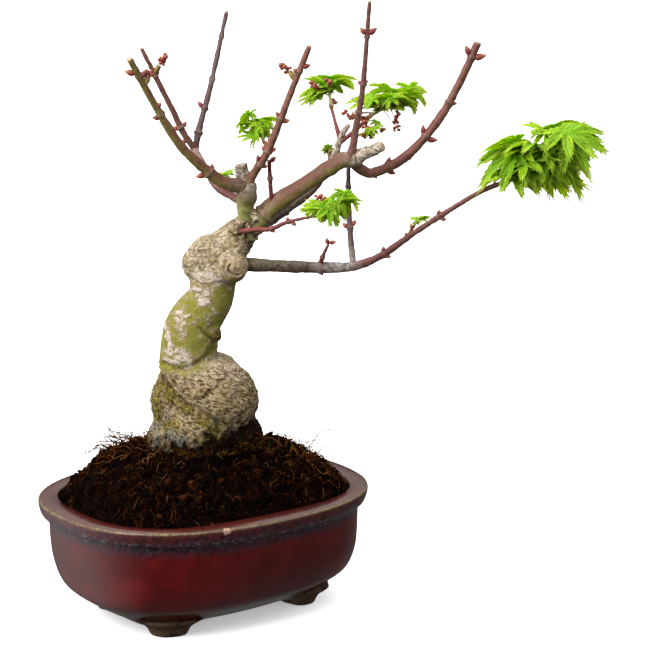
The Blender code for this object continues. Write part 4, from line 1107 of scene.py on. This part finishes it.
def makeLimb(name, limb, dice):
    # radius: the route's, plus a flare at the foot, swollen joints, a knobbly burl and fine ripples
    route = np.array(limb["route"])
    steps = max(14, round(pathLength(route[:, :3])[-1] / (len(route) - 1) / limbSkin["rowLength"]))
    rows = smoothRoute(route, steps)
    path, radius = rows[:, :3], rows[:, 3]
    length = pathLength(path)
    whole = length[-1]
    share = length / whole
    sides = limb["sides"]
    turn = around(sides)
    radius = radius * (1 + limbSkin["flare"] * np.exp(-length / (limbSkin["flareReach"] * radius[0])))
    joint = np.zeros(len(share))
    for at in limb.get("joints", ()):
        joint = np.maximum(joint, np.exp(-((share - at) * whole / limbSkin["jointReach"]) ** 2))
    radius = radius * (1 + limbSkin["jointSwell"] * joint * min(1.0, 1.5 / radius.mean()))
    end = limb["cut"]
    blunt = ease(whole - length, -0.1, 0.5 if end else 1.6)
    radius = radius * (0.80 + 0.20 * blunt) if end else radius * (0.35 + 0.65 * blunt)
    wide = radius[:, None] * (1 + 0.035 * np.sin(3 * turn + dice.uniform(0, 6))[None])
    along = share[:, None] * whole + 0 * turn[None]
    skin = np.stack([along, radius[:, None] * np.cos(turn), radius[:, None] * np.sin(turn)], -1)
    wide = (wide + limbSkin["ripple"] * layered(skin, 2.2, 3, dice.randrange(999))
            + limbSkin["wobble"] * wide * lattice(skin, 8, dice.randrange(99)))
    if "burl" in limb:
        at, much = limb["burl"]
        bulge = np.exp(-((share - at) / limbSkin["burlReach"]) ** 2)[:, None]
        lumps = np.stack([3 * np.cos(turn) + 0 * along, 3 * np.sin(turn) + 0 * along, along], -1)
        wide = wide * (1 + much * bulge * (1 + lattice(lumps, 3.2, 17)))

    def fade(key):
        # strength of the look along the limb
        if key not in limb:
            return 0 * length
        first, second = limb[key]
        shown = 1 - ease(length, first, second) if first < second else ease(length, second, first)
        return shown * limb.get(key + "Share", 1.0)

    wide = wide + limb.get("rough", 0) * fade("grey")[:, None] * layered(skin, 1.5, 2, 77)
    first, last = limb.get("pale", (-20, -20))
    pale = ease(length, first - 4, first + 4) * (1 - ease(length, last - 5, last + 5))
    marks = dict(green=fade("green"), grey=fade("grey"), aged=fade("aged"), joint=joint, pale=pale,
                 cut=ease(length, whole - 0.35, whole - 0.05) * end)
    surface = tubes(path[None], wide[None], sides, {key: mark[None] for key, mark in marks.items()})
    surface["marks"]["cut"][-1] = end
    piece(name + "Bark", surface, limb["bark"], [name])
    # buds stand on the joint's skin, leaning forward
    for at, side, size in limb.get("buds", ()):
        i = int(np.abs(share - at).argmin())
        ahead = unit(path[min(i + 4, len(path) - 1)] - path[max(i - 4, 0)])
        left = unit(np.array((-ahead[2], 0, ahead[0])))
        out = -side * left + np.array((0, dice.uniform(-0.35, 0.05), 0))
        way = unit(ahead * dice.uniform(0.7, 1.2) + out)
        root = path[i] + unit(out) * radius[i] * 0.6
        budScales.append(budSurface(root, way, size * 1.15, size * 0.25 + 0.42, dice))


limbDice = random.Random(5)
for name, limb in limbs.items():
    makeLimb(name, limb, limbDice)
print("boughs made")


# ---- foliage

# lobes: (angle from the midrib in degrees, length as a share of the leaf's); cleft to ripple are
# shares of the leaf, powers and a count of teeth; thickness, clearance, gap, collar, stemRadii, stalk
# and blossom are in millimetres; shootFlowers: (stalk's foot, its heads)
foliage = dict(lobes=((-113, 0.5), (-74, 0.8), (-37, 0.95), (0, 1.0), (37, 0.95), (74, 0.8), (113, 0.5)),
               cleft=0.4, heel=0.07, teeth=6, tooth=0.1, lean=0.042, fall=1.05, heelFall=2.2,
               rings=(0.12, 0.32, 0.52, 0.7, 0.86, 1.0), fold=(0.14, 0.3), droop=(-0.03, 0.12),
               ripple=0.014, thickness=0.3, clearance=0.8, ringsTested=(0.17, 0.33, 0.5, 0.67, 0.83, 1.0),
               gap=0.3, collar=1.5, stemRadii=(1.0, 0.6), stalk=0.34, blossom=1.25, plainCleft=0.4,
               shootFlowers=(((44.6, -19, 256.0), ((41.2, -18, 260.6), (39.4, -18, 262.4))),
                             ((-21.6, 7.5, 257.0), ((-18.2, 5.5, 262.4), (-17.0, 5, 264.6))),
                             ((-22.6, -30, 255.0), ((-21.4, -28, 259.6),))))
# each tuft: the limb it ends, where its stem ends, leaf length, one seed a node for the leaf
# pairs, young pairs as (seed, size as a share of the leaf, share of the stem), flowers by dice,
# flower clusters at their places, and the ellipsoid that it fills
masses = (
    dict(name="mass_right",
         young=((52539, 0.66, 0.04), (778, 0.58, 0.125), (33634, 0.58, 0.21), (11312, 0.66, 0.29),
                (17999, 0.58, 0.375), (6917, 0.66, 0.46), (24543, 0.66, 0.54), (37826, 0.66, 0.625),
                (39265, 0.66, 0.71), (44832, 0.66, 0.79), (25215, 0.58, 0.875), (14765, 0.66, 0.96)),
         limb="bough_right_long", end=(163, -34, 233), leaf=27.0,
         seeds=(5824, 56817, 4690, 39811, 34100, 60757), blossoms=5,
         clusters=((142, -36, 214), (145.5, -35, 212.5), (153, -34, 219), (146, -37, 209)),
         centre=(158, -33, 219), space=(37, 26, 26)),
    dict(name="mass_top_left",
         young=((14769, 0.66, 0.5), (26519, 0.66, 0.64), (30706, 0.66, 0.79), (23964, 0.66, 0.93)),
         limb="twig_top_left", end=(60, 42, 247), leaf=20.0, seeds=(35680, 46225, 21426, 67363), blossoms=3,
         clusters=((52, 36, 249.3), (54.5, 37, 248), (59.6, 37, 250.5)), centre=(59, 46, 245),
         space=(19.5, 16, 14)),
    dict(name="mass_top_right",
         young=((31785, 0.58, 0.19), (4218, 0.66, 0.31), (12739, 0.42, 0.44), (29172, 0.66, 0.56),
                (40940, 0.66, 0.69), (38501, 0.58, 0.81), (4178, 0.66, 0.94)), limb="twig_top_right",
         end=(94, 27, 244), leaf=20.0, seeds=(47744, 177, 39298, 26019, 45972), blossoms=3,
         clusters=((68.1, 24, 236.6), (71, 23, 235.6), (76.9, 22, 234.2), (92, 26, 233), (93.2, 24, 236.4),
                   (92.7, 26, 229.4)), centre=(87, 27, 242), space=(26, 16, 14)),
    dict(name="mass_top_front", young=((778, 0.6, 0.3), (17999, 0.6, 0.6), (6917, 0.6, 0.9)),
         limb="twig_riser", end=(84, 8, 233), leaf=11.0, seeds=(38096, 38385), blossoms=5,
         clusters=((79, 12, 230.3), (81, 10, 229.4), (77, 13, 232.5)), centre=(84, 8, 232),
         space=(12.5, 9, 9)),
    dict(name="mass_left",
         young=((25656, 0.66, 0.3), (37281, 0.66, 0.5), (7524, 0.66, 0.7), (38059, 0.5, 0.9)),
         limb="spur_left", end=(26, 2, 234), leaf=16.0, seeds=(23504, 53409, 2386, 12451), blossoms=0,
         centre=(29, 3, 230), space=(18, 14, 18)),
    dict(name="mass_front",
         young=((26026, 0.5, 0.1), (49617, 0.66, 0.3), (19908, 0.66, 0.5), (34950, 0.66, 0.7),
                (52734, 0.66, 0.9)), limb="twig_front", end=(65, -36, 202), leaf=16.0,
         seeds=(57392, 26017, 59506), blossoms=2, clusters=((54.3, -31, 203), (57.3, -31.5, 203.6)),
         centre=(61, -35, 198), space=(18, 15, 13)),
    dict(name="sprout_right", young=((41376, 0.42, 0.83),), limb="spur_right", end=(101, -13, 189.5),
         leaf=9.0, seeds=(38096, 38385), blossoms=0, centre=(104, -13, 191), space=(12, 10, 10)),
    dict(name="sprout_leader", young=((778, 0.5, 0.5), (6917, 0.5, 0.9)), limb="spur_leader",
         end=(12, 7, 207.5), leaf=9.0, seeds=(22784, 1809), blossoms=0, centre=(11, 8, 206),
         space=(9, 9, 9)),
    dict(name="sprout_back", young=((24759, 0.58, 0.17), (32676, 0.42, 0.5), (35785, 0.66, 0.83)),
         limb="spur_back", end=(61, 28.5, 219), leaf=7.5, seeds=(38320,), blossoms=0, centre=(61, 29, 220),
         space=(6, 6, 6)),
)


def leafPair(seed, node, size):
    # two leaves on stalks from opposite sides of a node; the dice fall in a fixed order
    dice = random.Random(seed)
    turn = dice.uniform(0, 360)
    up = np.array((0.0, 0.0, 1.0))
    pair = []
    for side in (0, 180):
        heading = math.radians(turn + side + dice.uniform(-35, 35))
        stalk = size * dice.uniform(0.12, 0.38)
        rise = math.radians(dice.uniform(-15, 60))
        pitch = math.radians(dice.uniform(-65, 15))
        roll = math.radians(dice.uniform(-35, 35))
        length = size * dice.uniform(0.72, 1.05)
        bend = dice.uniform(0.05, 0.45)
        flat = np.array((math.cos(heading), math.sin(heading), 0.0))
        root = node + stalk * (flat * math.cos(rise) + up * math.sin(rise))
        ahead = flat * math.cos(pitch) + up * math.sin(pitch)
        left = np.cross(up, flat)
        over = np.cross(ahead, left)
        left, over = (left * math.cos(roll) + over * math.sin(roll),
                      over * math.cos(roll) - left * math.sin(roll))
        pair.append(dict(node=node, root=root, ahead=ahead, left=left, over=over, length=length, bend=bend))
    return pair


def bladePlaces(leaf, flat, lift=0.0):
    # flat blade of length 1, bent down by the square of the distance, set at the leaf's place
    flat = flat * leaf["length"]
    sag = leaf["bend"] * (flat ** 2).sum(-1) / leaf["length"]
    return (leaf["root"] + flat[..., :1] * leaf["ahead"] + flat[..., 1:] * leaf["left"]
            + (lift - sag)[..., None] * leaf["over"])


def plainOutline():
    # the blade without teeth: the heel, then each lobe's tip and the cleft to the next
    lobes = foliage["lobes"]
    polar = []
    for lobe, following in zip(lobes, lobes[1:] + (None,)):
        polar.append(lobe)
        if following:
            polar.append(((lobe[0] + following[0]) / 2, foliage["plainCleft"] * (lobe[1] + following[1]) / 2))
    return np.array([(-foliage["heel"], 0.0)] + [(reach * math.cos(math.radians(angle)),
                                                  reach * math.sin(math.radians(angle)))
                                                 for angle, reach in polar])


def fits(places, mass):
    # every place lies in the tuft's ellipsoid and clear of the wood
    inside = (((places - np.array(mass["centre"])) / np.array(mass["space"])) ** 2).sum(-1)
    if inside.max() > 1:
        return False
    apart = np.linalg.norm(places[:, None] - allWood[None, :, :3], axis=2) - allWood[None, :, 3]
    return apart.min() > foliage["clearance"]


def leafSamples(leaf):
    # places on rings of the plain blade, and two on the stalk
    outline = plainOutline()
    halfway = (outline + np.roll(outline, -1, axis=0)) / 2
    rings = [bladePlaces(leaf, np.vstack([outline, halfway]) * share) for share in foliage["ringsTested"]]
    stalk = leaf["node"] + (leaf["root"] - leaf["node"]) * np.array(((0.6,), (0.9,)))
    return np.vstack(rings + [stalk])


def bladeSurface(leaf, dice):
    # polar grid: the edge's distance falls from each lobe's tip as cleft + (tip - cleft) (1 - t)^1.05,
    # t going from midrib to cleft, and a saw cuts teeth in it; each lobe folds up from its midrib,
    # ripples between side veins and droops with the cube of the distance
    lobes = np.array(foliage["lobes"])
    lobes[:, 1] *= [dice.uniform(0.93, 1.05) for _ in lobes]
    angles = lobes[:, 0] + np.array([dice.uniform(-3, 3) for _ in lobes])
    per = 2 * foliage["teeth"]
    angle, edge, off, which = [], [], [], []
    bounds = np.concatenate([[-180], (angles[1:] + angles[:-1]) / 2, [180]])
    for i, (middle, reach) in enumerate(zip(angles, lobes[:, 1])):
        for sign in (-1, 1):
            outer = bounds[i] if sign < 0 else bounds[i + 1]
            t = np.arange(per + (sign > 0)) / per
            t = t[::-1] + 1 / per if sign < 0 else t[:-1]
            last = (i == 0 and sign < 0) or (i == len(angles) - 1 and sign > 0)
            other = lobes[i - 1 if sign < 0 else i + 1, 1] if not last else 0
            cleft = foliage["heel"] if last else foliage["cleft"] * (reach + other) / 2
            fall = (1 - t) ** foliage["heelFall" if last else "fall"]
            saw = np.where(np.round(t * per) % 2 == 0, 1.0, -0.7) * (t > 0.06) * (t < 0.95)
            point = 0.07 * np.exp(-(t / 0.05) ** 2) - 0.05 * np.exp(-((t - 0.1) / 0.06) ** 2)
            radius = (cleft + (reach - cleft) * fall) * (1 + foliage["tooth"] * saw * (1 - 0.4 * t) + point)
            angle.append(np.radians(middle + (outer - middle) * (t + foliage["lean"] * saw)))
            edge.append(radius)
            off.append(t)
            which.append(np.full(len(t), i))
    angle, edge, off, which = (np.concatenate(a) for a in (angle, edge, off, which))
    rows = np.array(foliage["rings"])[:, None]
    rho = rows * edge[None]
    flat = np.stack([rho * np.cos(angle), rho * np.sin(angle)], -1)
    droop = np.array([dice.uniform(*foliage["droop"]) for _ in lobes])[which]
    fold = dice.uniform(*foliage["fold"])
    ripple = foliage["ripple"] * np.sin(rho * 46 - off[None] * 5 + dice.uniform(0, 6)) * ease(rho, 0.1, 0.4)
    lift = leaf["length"] * (fold * rho * off[None] * (1 - 0.4 * rho) - droop[None] * rho ** 3 + ripple)
    half = foliage["thickness"] / 2 * (1 - 0.5 * rows)
    top = bladePlaces(leaf, flat, lift + half)
    bottom = bladePlaces(leaf, flat, lift - half)
    rings = np.concatenate([top, bottom[::-1]])
    return closedGrid(rings, {"u": off[None], "v": np.concatenate([rho, rho[::-1]]), "spray": leaf["spray"]})


def rod(start, end, radii, steps, red, sag):
    # a thin stalk that tapers from one radius to the other and arches up by a half sine
    t = np.linspace(0, 1, steps)[:, None]
    path = start + (end - start) * t
    path[:, 2] += sag * np.sin(math.pi * t[:, 0])
    return tubes(path[None], np.linspace(*radii, steps)[None], 7, {"red": red})


def stemTube(places, radii, steps, red):
    # a smooth stem through the places
    stem = smoothRoute(np.column_stack([places, radii]), steps)
    return tubes(stem[None, :, :3], stem[None, :, 3], 7, {"red": red})


def ball(centre, radius, dice):
    # a knobbly little head of closed flower buds: a sphere's radius times 1 + twisting lobes
    t, sides = np.linspace(0, 1, 9), 10
    lobes = 1 + 0.22 * np.cos(around(sides) * 3 + t[:, None] * 7)
    wide = radius * np.sin(math.pi * np.clip(t, 0.03, 0.97))[:, None] * lobes
    path = centre + np.array((0, 0, 1.0)) * ((t - 0.5) * 2 * radius)[:, None]
    return tubes(path[None], wide[None], sides, {"spray": dice.uniform(0, 1)})


def flowerHead(centre, count, spread, sizes, dice):
    # balls dealt in a cube about the centre
    heads = []
    for _ in range(count):
        nudge = np.array([dice.uniform(-1, 1) for _ in range(3)]) * spread
        heads.append(ball(centre + nudge, foliage["blossom"] * dice.uniform(*sizes), dice))
    return heads


def sheaths(root, ahead, turns, lean, rise, size, width, fresh, dice):
    # papery scales round a stem's foot
    for turn in turns:
        out = np.array((math.cos(turn), math.sin(turn), rise))
        budScales.append(budSurface(root, unit(ahead + lean * out), size, width, dice, fresh))


def leavesAt(node, seed, size, mass, spray, reach, radii, steps, red, sag, dice):
    # the leaves of a pair that fit, with their stalks; spray is the least of their mark, reach how
    # far a stalk runs on under its blade
    blades, stalks = [], []
    for leaf in leafPair(seed, node, size):
        if fits(leafSamples(leaf), mass):
            leaf["spray"] = dice.uniform(spray, 1)
            blades.append(bladeSurface(leaf, dice))
            stalks.append(rod(node, leaf["root"] + reach * leaf["ahead"], radii, steps, red, sag))
    return blades, stalks


def growMass(mass):
    # a stem on from the limb's tip, a pair of leaves at each node, young pairs and flowers between
    path = allPaths[mass["limb"]][:, :3]
    tip = path[-1]
    ahead = unit(tip - path[-7])
    start = tip + ahead * foliage["gap"]
    end = np.array(mass["end"], float)
    count = len(mass["seeds"])
    nodes = [start + (end - start) * (i + 1) / count for i in range(count)]
    collar = start + ahead * min(foliage["collar"], 0.4 * np.linalg.norm(nodes[0] - start))
    dice = random.Random(len(mass["name"]) * 7 + count)
    thick = foliage["stalk"]
    blades, stalks, heads = [], [], []
    for seed, node in zip(mass["seeds"], nodes):
        more = leavesAt(node, seed, mass["leaf"], mass, spray=0, reach=0.6, radii=(thick * 1.2, thick),
                        steps=9, red=0.0, sag=0.4, dice=dice)
        blades, stalks = blades + more[0], stalks + more[1]
    for seed, size, share in mass["young"]:
        node = start + (nodes[-1] - start) * share
        more = leavesAt(node, seed, mass["leaf"] * size, mass, spray=0.45, reach=0.4,
                        radii=(thick, thick * 0.8), steps=7, red=0.15, sag=0.3, dice=dice)
        blades, stalks = blades + more[0], stalks + more[1]
    radii = np.linspace(*foliage["stemRadii"], count + 2) * 0.85
    stalks.append(stemTube(np.array([tip - ahead, collar] + nodes), radii, steps=6, red=0.35))
    sheaths(tip - ahead, ahead, turns=(0.6, 2.4, 4.4), lean=0.55, rise=0.2, size=3.6, width=0.7,
            fresh=0.15, dice=dice)
    blossomDice = random.Random(mass["seeds"][0])
    for _ in range(mass["blossoms"]):
        node = nodes[blossomDice.randrange(count)]
        turn = blossomDice.uniform(0, 2 * math.pi)
        drop = blossomDice.uniform(-0.9, 0.3)
        flat = math.sqrt(1 - drop ** 2)
        reach = blossomDice.uniform(0.18, 0.32) * mass["leaf"]
        head = node + reach * np.array((flat * math.cos(turn), flat * math.sin(turn), drop))
        if fits(head[None, :], mass):
            stalks.append(rod(node, head, radii=(0.22, 0.18), steps=7, red=0.8, sag=0.5))
            heads += flowerHead(head, count=5, spread=0.9, sizes=(0.55, 0.8), dice=dice)
    if blades:
        blade = joined(blades)
        chart = np.stack([blade["marks"].pop("u"), blade["marks"].pop("v")], -1)
        piece(mass["name"] + "Leaves", blade, leafBlade, [mass["name"]], uv=chart)
    # the flower clusters that show best, each on its own stalk from the nearest node
    for spot in mass.get("clusters", ()):
        spot = np.array(spot, float)
        node = nodes[int(np.argmin([np.linalg.norm(spot - n) for n in nodes]))]
        stalks.append(rod(node, spot, radii=(0.28, 0.2), steps=7, red=0.8, sag=0.5))
        heads += flowerHead(spot, count=8, spread=1.4, sizes=(0.55, 0.85), dice=dice)
    piece(mass["name"] + "Stalks", joined(stalks), leafStalk, [mass["name"]])
    if heads:
        piece(mass["name"] + "Flowers", joined(heads), flowerBud)
    return len(blades)


def makeShootFlowers():
    # opened buds high on the shoots: a stalk, scales at its foot and heads of flower buds along it
    dice = random.Random(12)
    stalks, heads = [], []
    for foot, spots in foliage["shootFlowers"]:
        foot, spots = np.array(foot, float), np.array(spots, float)
        stalks.append(stemTube(np.vstack([foot, spots]), np.full(len(spots) + 1, 0.3), steps=5, red=0.3))
        for spot in spots:
            heads += flowerHead(spot, count=11, spread=1.5, sizes=(0.6, 0.9), dice=dice)
        sheaths(foot, unit(spots[0] - foot), turns=(0.3, 2.5, 4.6), lean=0.25, rise=0.0, size=5.0,
                width=1.1, fresh=0.45, dice=dice)
    piece("shootStalks", joined(stalks), leafStalk)
    piece("shootFlowers", joined(heads), flowerBud)


buds, leafBlade, leafStalk, flowerBud = budFinish(), leafFinish(), stalkFinish(), blossomFinish()
allPaths = {name: smoothRoute(limb["route"], 12) for name, limb in limbs.items()}
allPaths["trunk"] = smoothRoute(trunk["core"], 12)
allWood = np.vstack(list(allPaths.values()))
for mass in masses:
    print(mass["name"], growMass(mass), "leaves")
makeShootFlowers()
piece("budsAndSheaths", joined(budScales), buds)


# ---- stage, light and camera

# floor, lamp sizes and nearest in metres, places and distances in millimetres, powers in watts,
# pitch in degrees; paper is the floor's grey and zenith to side are strengths of the sky
studio = dict(floor=160, paper=0.94, paperGlow=0.35, zenith=2.8, horizon=0.07, nadir=0.17, side=1.35,
              keyPlace=(-620, -680, 760), keySize=0.8, keyPower=17, fillPlace=(900, -500, 420),
              fillSize=1.0, fillPower=2.5, distance=1000, aim=(58.2, 0, 138.3), pitch=11.3, lens=116.4,
              lightAim=(20, 0, 130), sensor=36, nearest=0.05)


def makeFloor():
    # a wide sheet with a faint glow of its own, which keeps the shadow on it soft and light
    half, paper = studio["floor"] / 2, studio["paper"]
    mesh = bpy.data.meshes.new("studioFloor")
    mesh.from_pydata([(-half, -half, 0), (half, -half, 0), (half, half, 0), (-half, half, 0)], [],
                     [(0, 1, 2, 3)])
    f = Finish("paperWhite", Roughness=0.9, BaseColor=(paper, paper, paper), SpecularIorLevel=0.1,
               EmissionColor=(1, 1, 1), EmissionStrength=studio["paperGlow"])
    mesh.materials.append(f.material)
    floor = bpy.data.objects.new("studioFloor", mesh)
    bpy.context.scene.collection.objects.link(floor)
    floor.visible_diffuse = False       # the soft sky alone lights the tree from below
    floor.visible_glossy = False


def softLight(name, spot, size, power):
    # a round lamp turned towards the tree
    light = bpy.data.lights.new(name, "AREA")
    light.shape = "DISK"
    light.size = size
    light.energy = power
    obj = bpy.data.objects.new(name, light)
    bpy.context.scene.collection.objects.link(obj)
    obj.location = place(spot)
    target = Vector(place(studio["lightAim"]))
    obj.rotation_euler = (target - obj.location).to_track_quat("-Z", "Y").to_euler()


def makeSky():
    # strength by direction: zenith times up^1.4 down to the dim horizon, nadir below it by
    # down^0.5, and a wall of light on the left by left^3
    world = bpy.data.worlds.new("studioSky")
    world.use_nodes = True
    tree = world.node_tree
    tree.nodes["Background"].inputs["Color"].default_value = (1, 1, 1, 1)
    spot = tree.nodes.new("ShaderNodeTexCoord")
    split = tree.nodes.new("ShaderNodeSeparateXYZ")
    tree.links.new(spot.outputs["Generated"], split.inputs[0])
    up = Wire(split.outputs[2])
    left = Wire(split.outputs[0]) * -math.cos(treeTurn) + Wire(split.outputs[1]) * -math.sin(treeTurn)
    above = up.math("MAXIMUM", up, 0.0) ** 1.4 * (studio["zenith"] - studio["horizon"])
    below = up.math("MAXIMUM", up * -1.0, 0.0) ** 0.5 * (studio["horizon"] - studio["nadir"])
    glow = left.math("MAXIMUM", left, 0.0) ** 3.0 * studio["side"]
    join(above - below + glow + studio["horizon"], tree.nodes["Background"].inputs["Strength"])
    bpy.context.scene.world = world


def makeCamera():
    # distance back from the aim along the front's depth, raised by the pitch
    pitch = math.radians(studio["pitch"])
    back = np.array((0, -math.cos(pitch), math.sin(pitch))) * studio["distance"]
    data = bpy.data.cameras.new("camera")
    data.lens = studio["lens"]
    data.sensor_width = studio["sensor"]
    data.clip_start = studio["nearest"]
    camera = bpy.data.objects.new("camera", data)
    bpy.context.scene.collection.objects.link(camera)
    aim, eye = Vector(place(studio["aim"])), Vector(place(np.array(studio["aim"]) + back))
    camera.location = eye
    camera.rotation_euler = (aim - eye).to_track_quat("-Z", "Y").to_euler()
    bpy.context.scene.camera = camera


makeFloor()
softLight("keyLight", studio["keyPlace"], studio["keySize"], studio["keyPower"])
softLight("fillLight", studio["fillPlace"], studio["fillSize"], studio["fillPower"])
makeSky()
bpy.context.scene.view_settings.view_transform = "Standard"
makeCamera()
print("stage set")
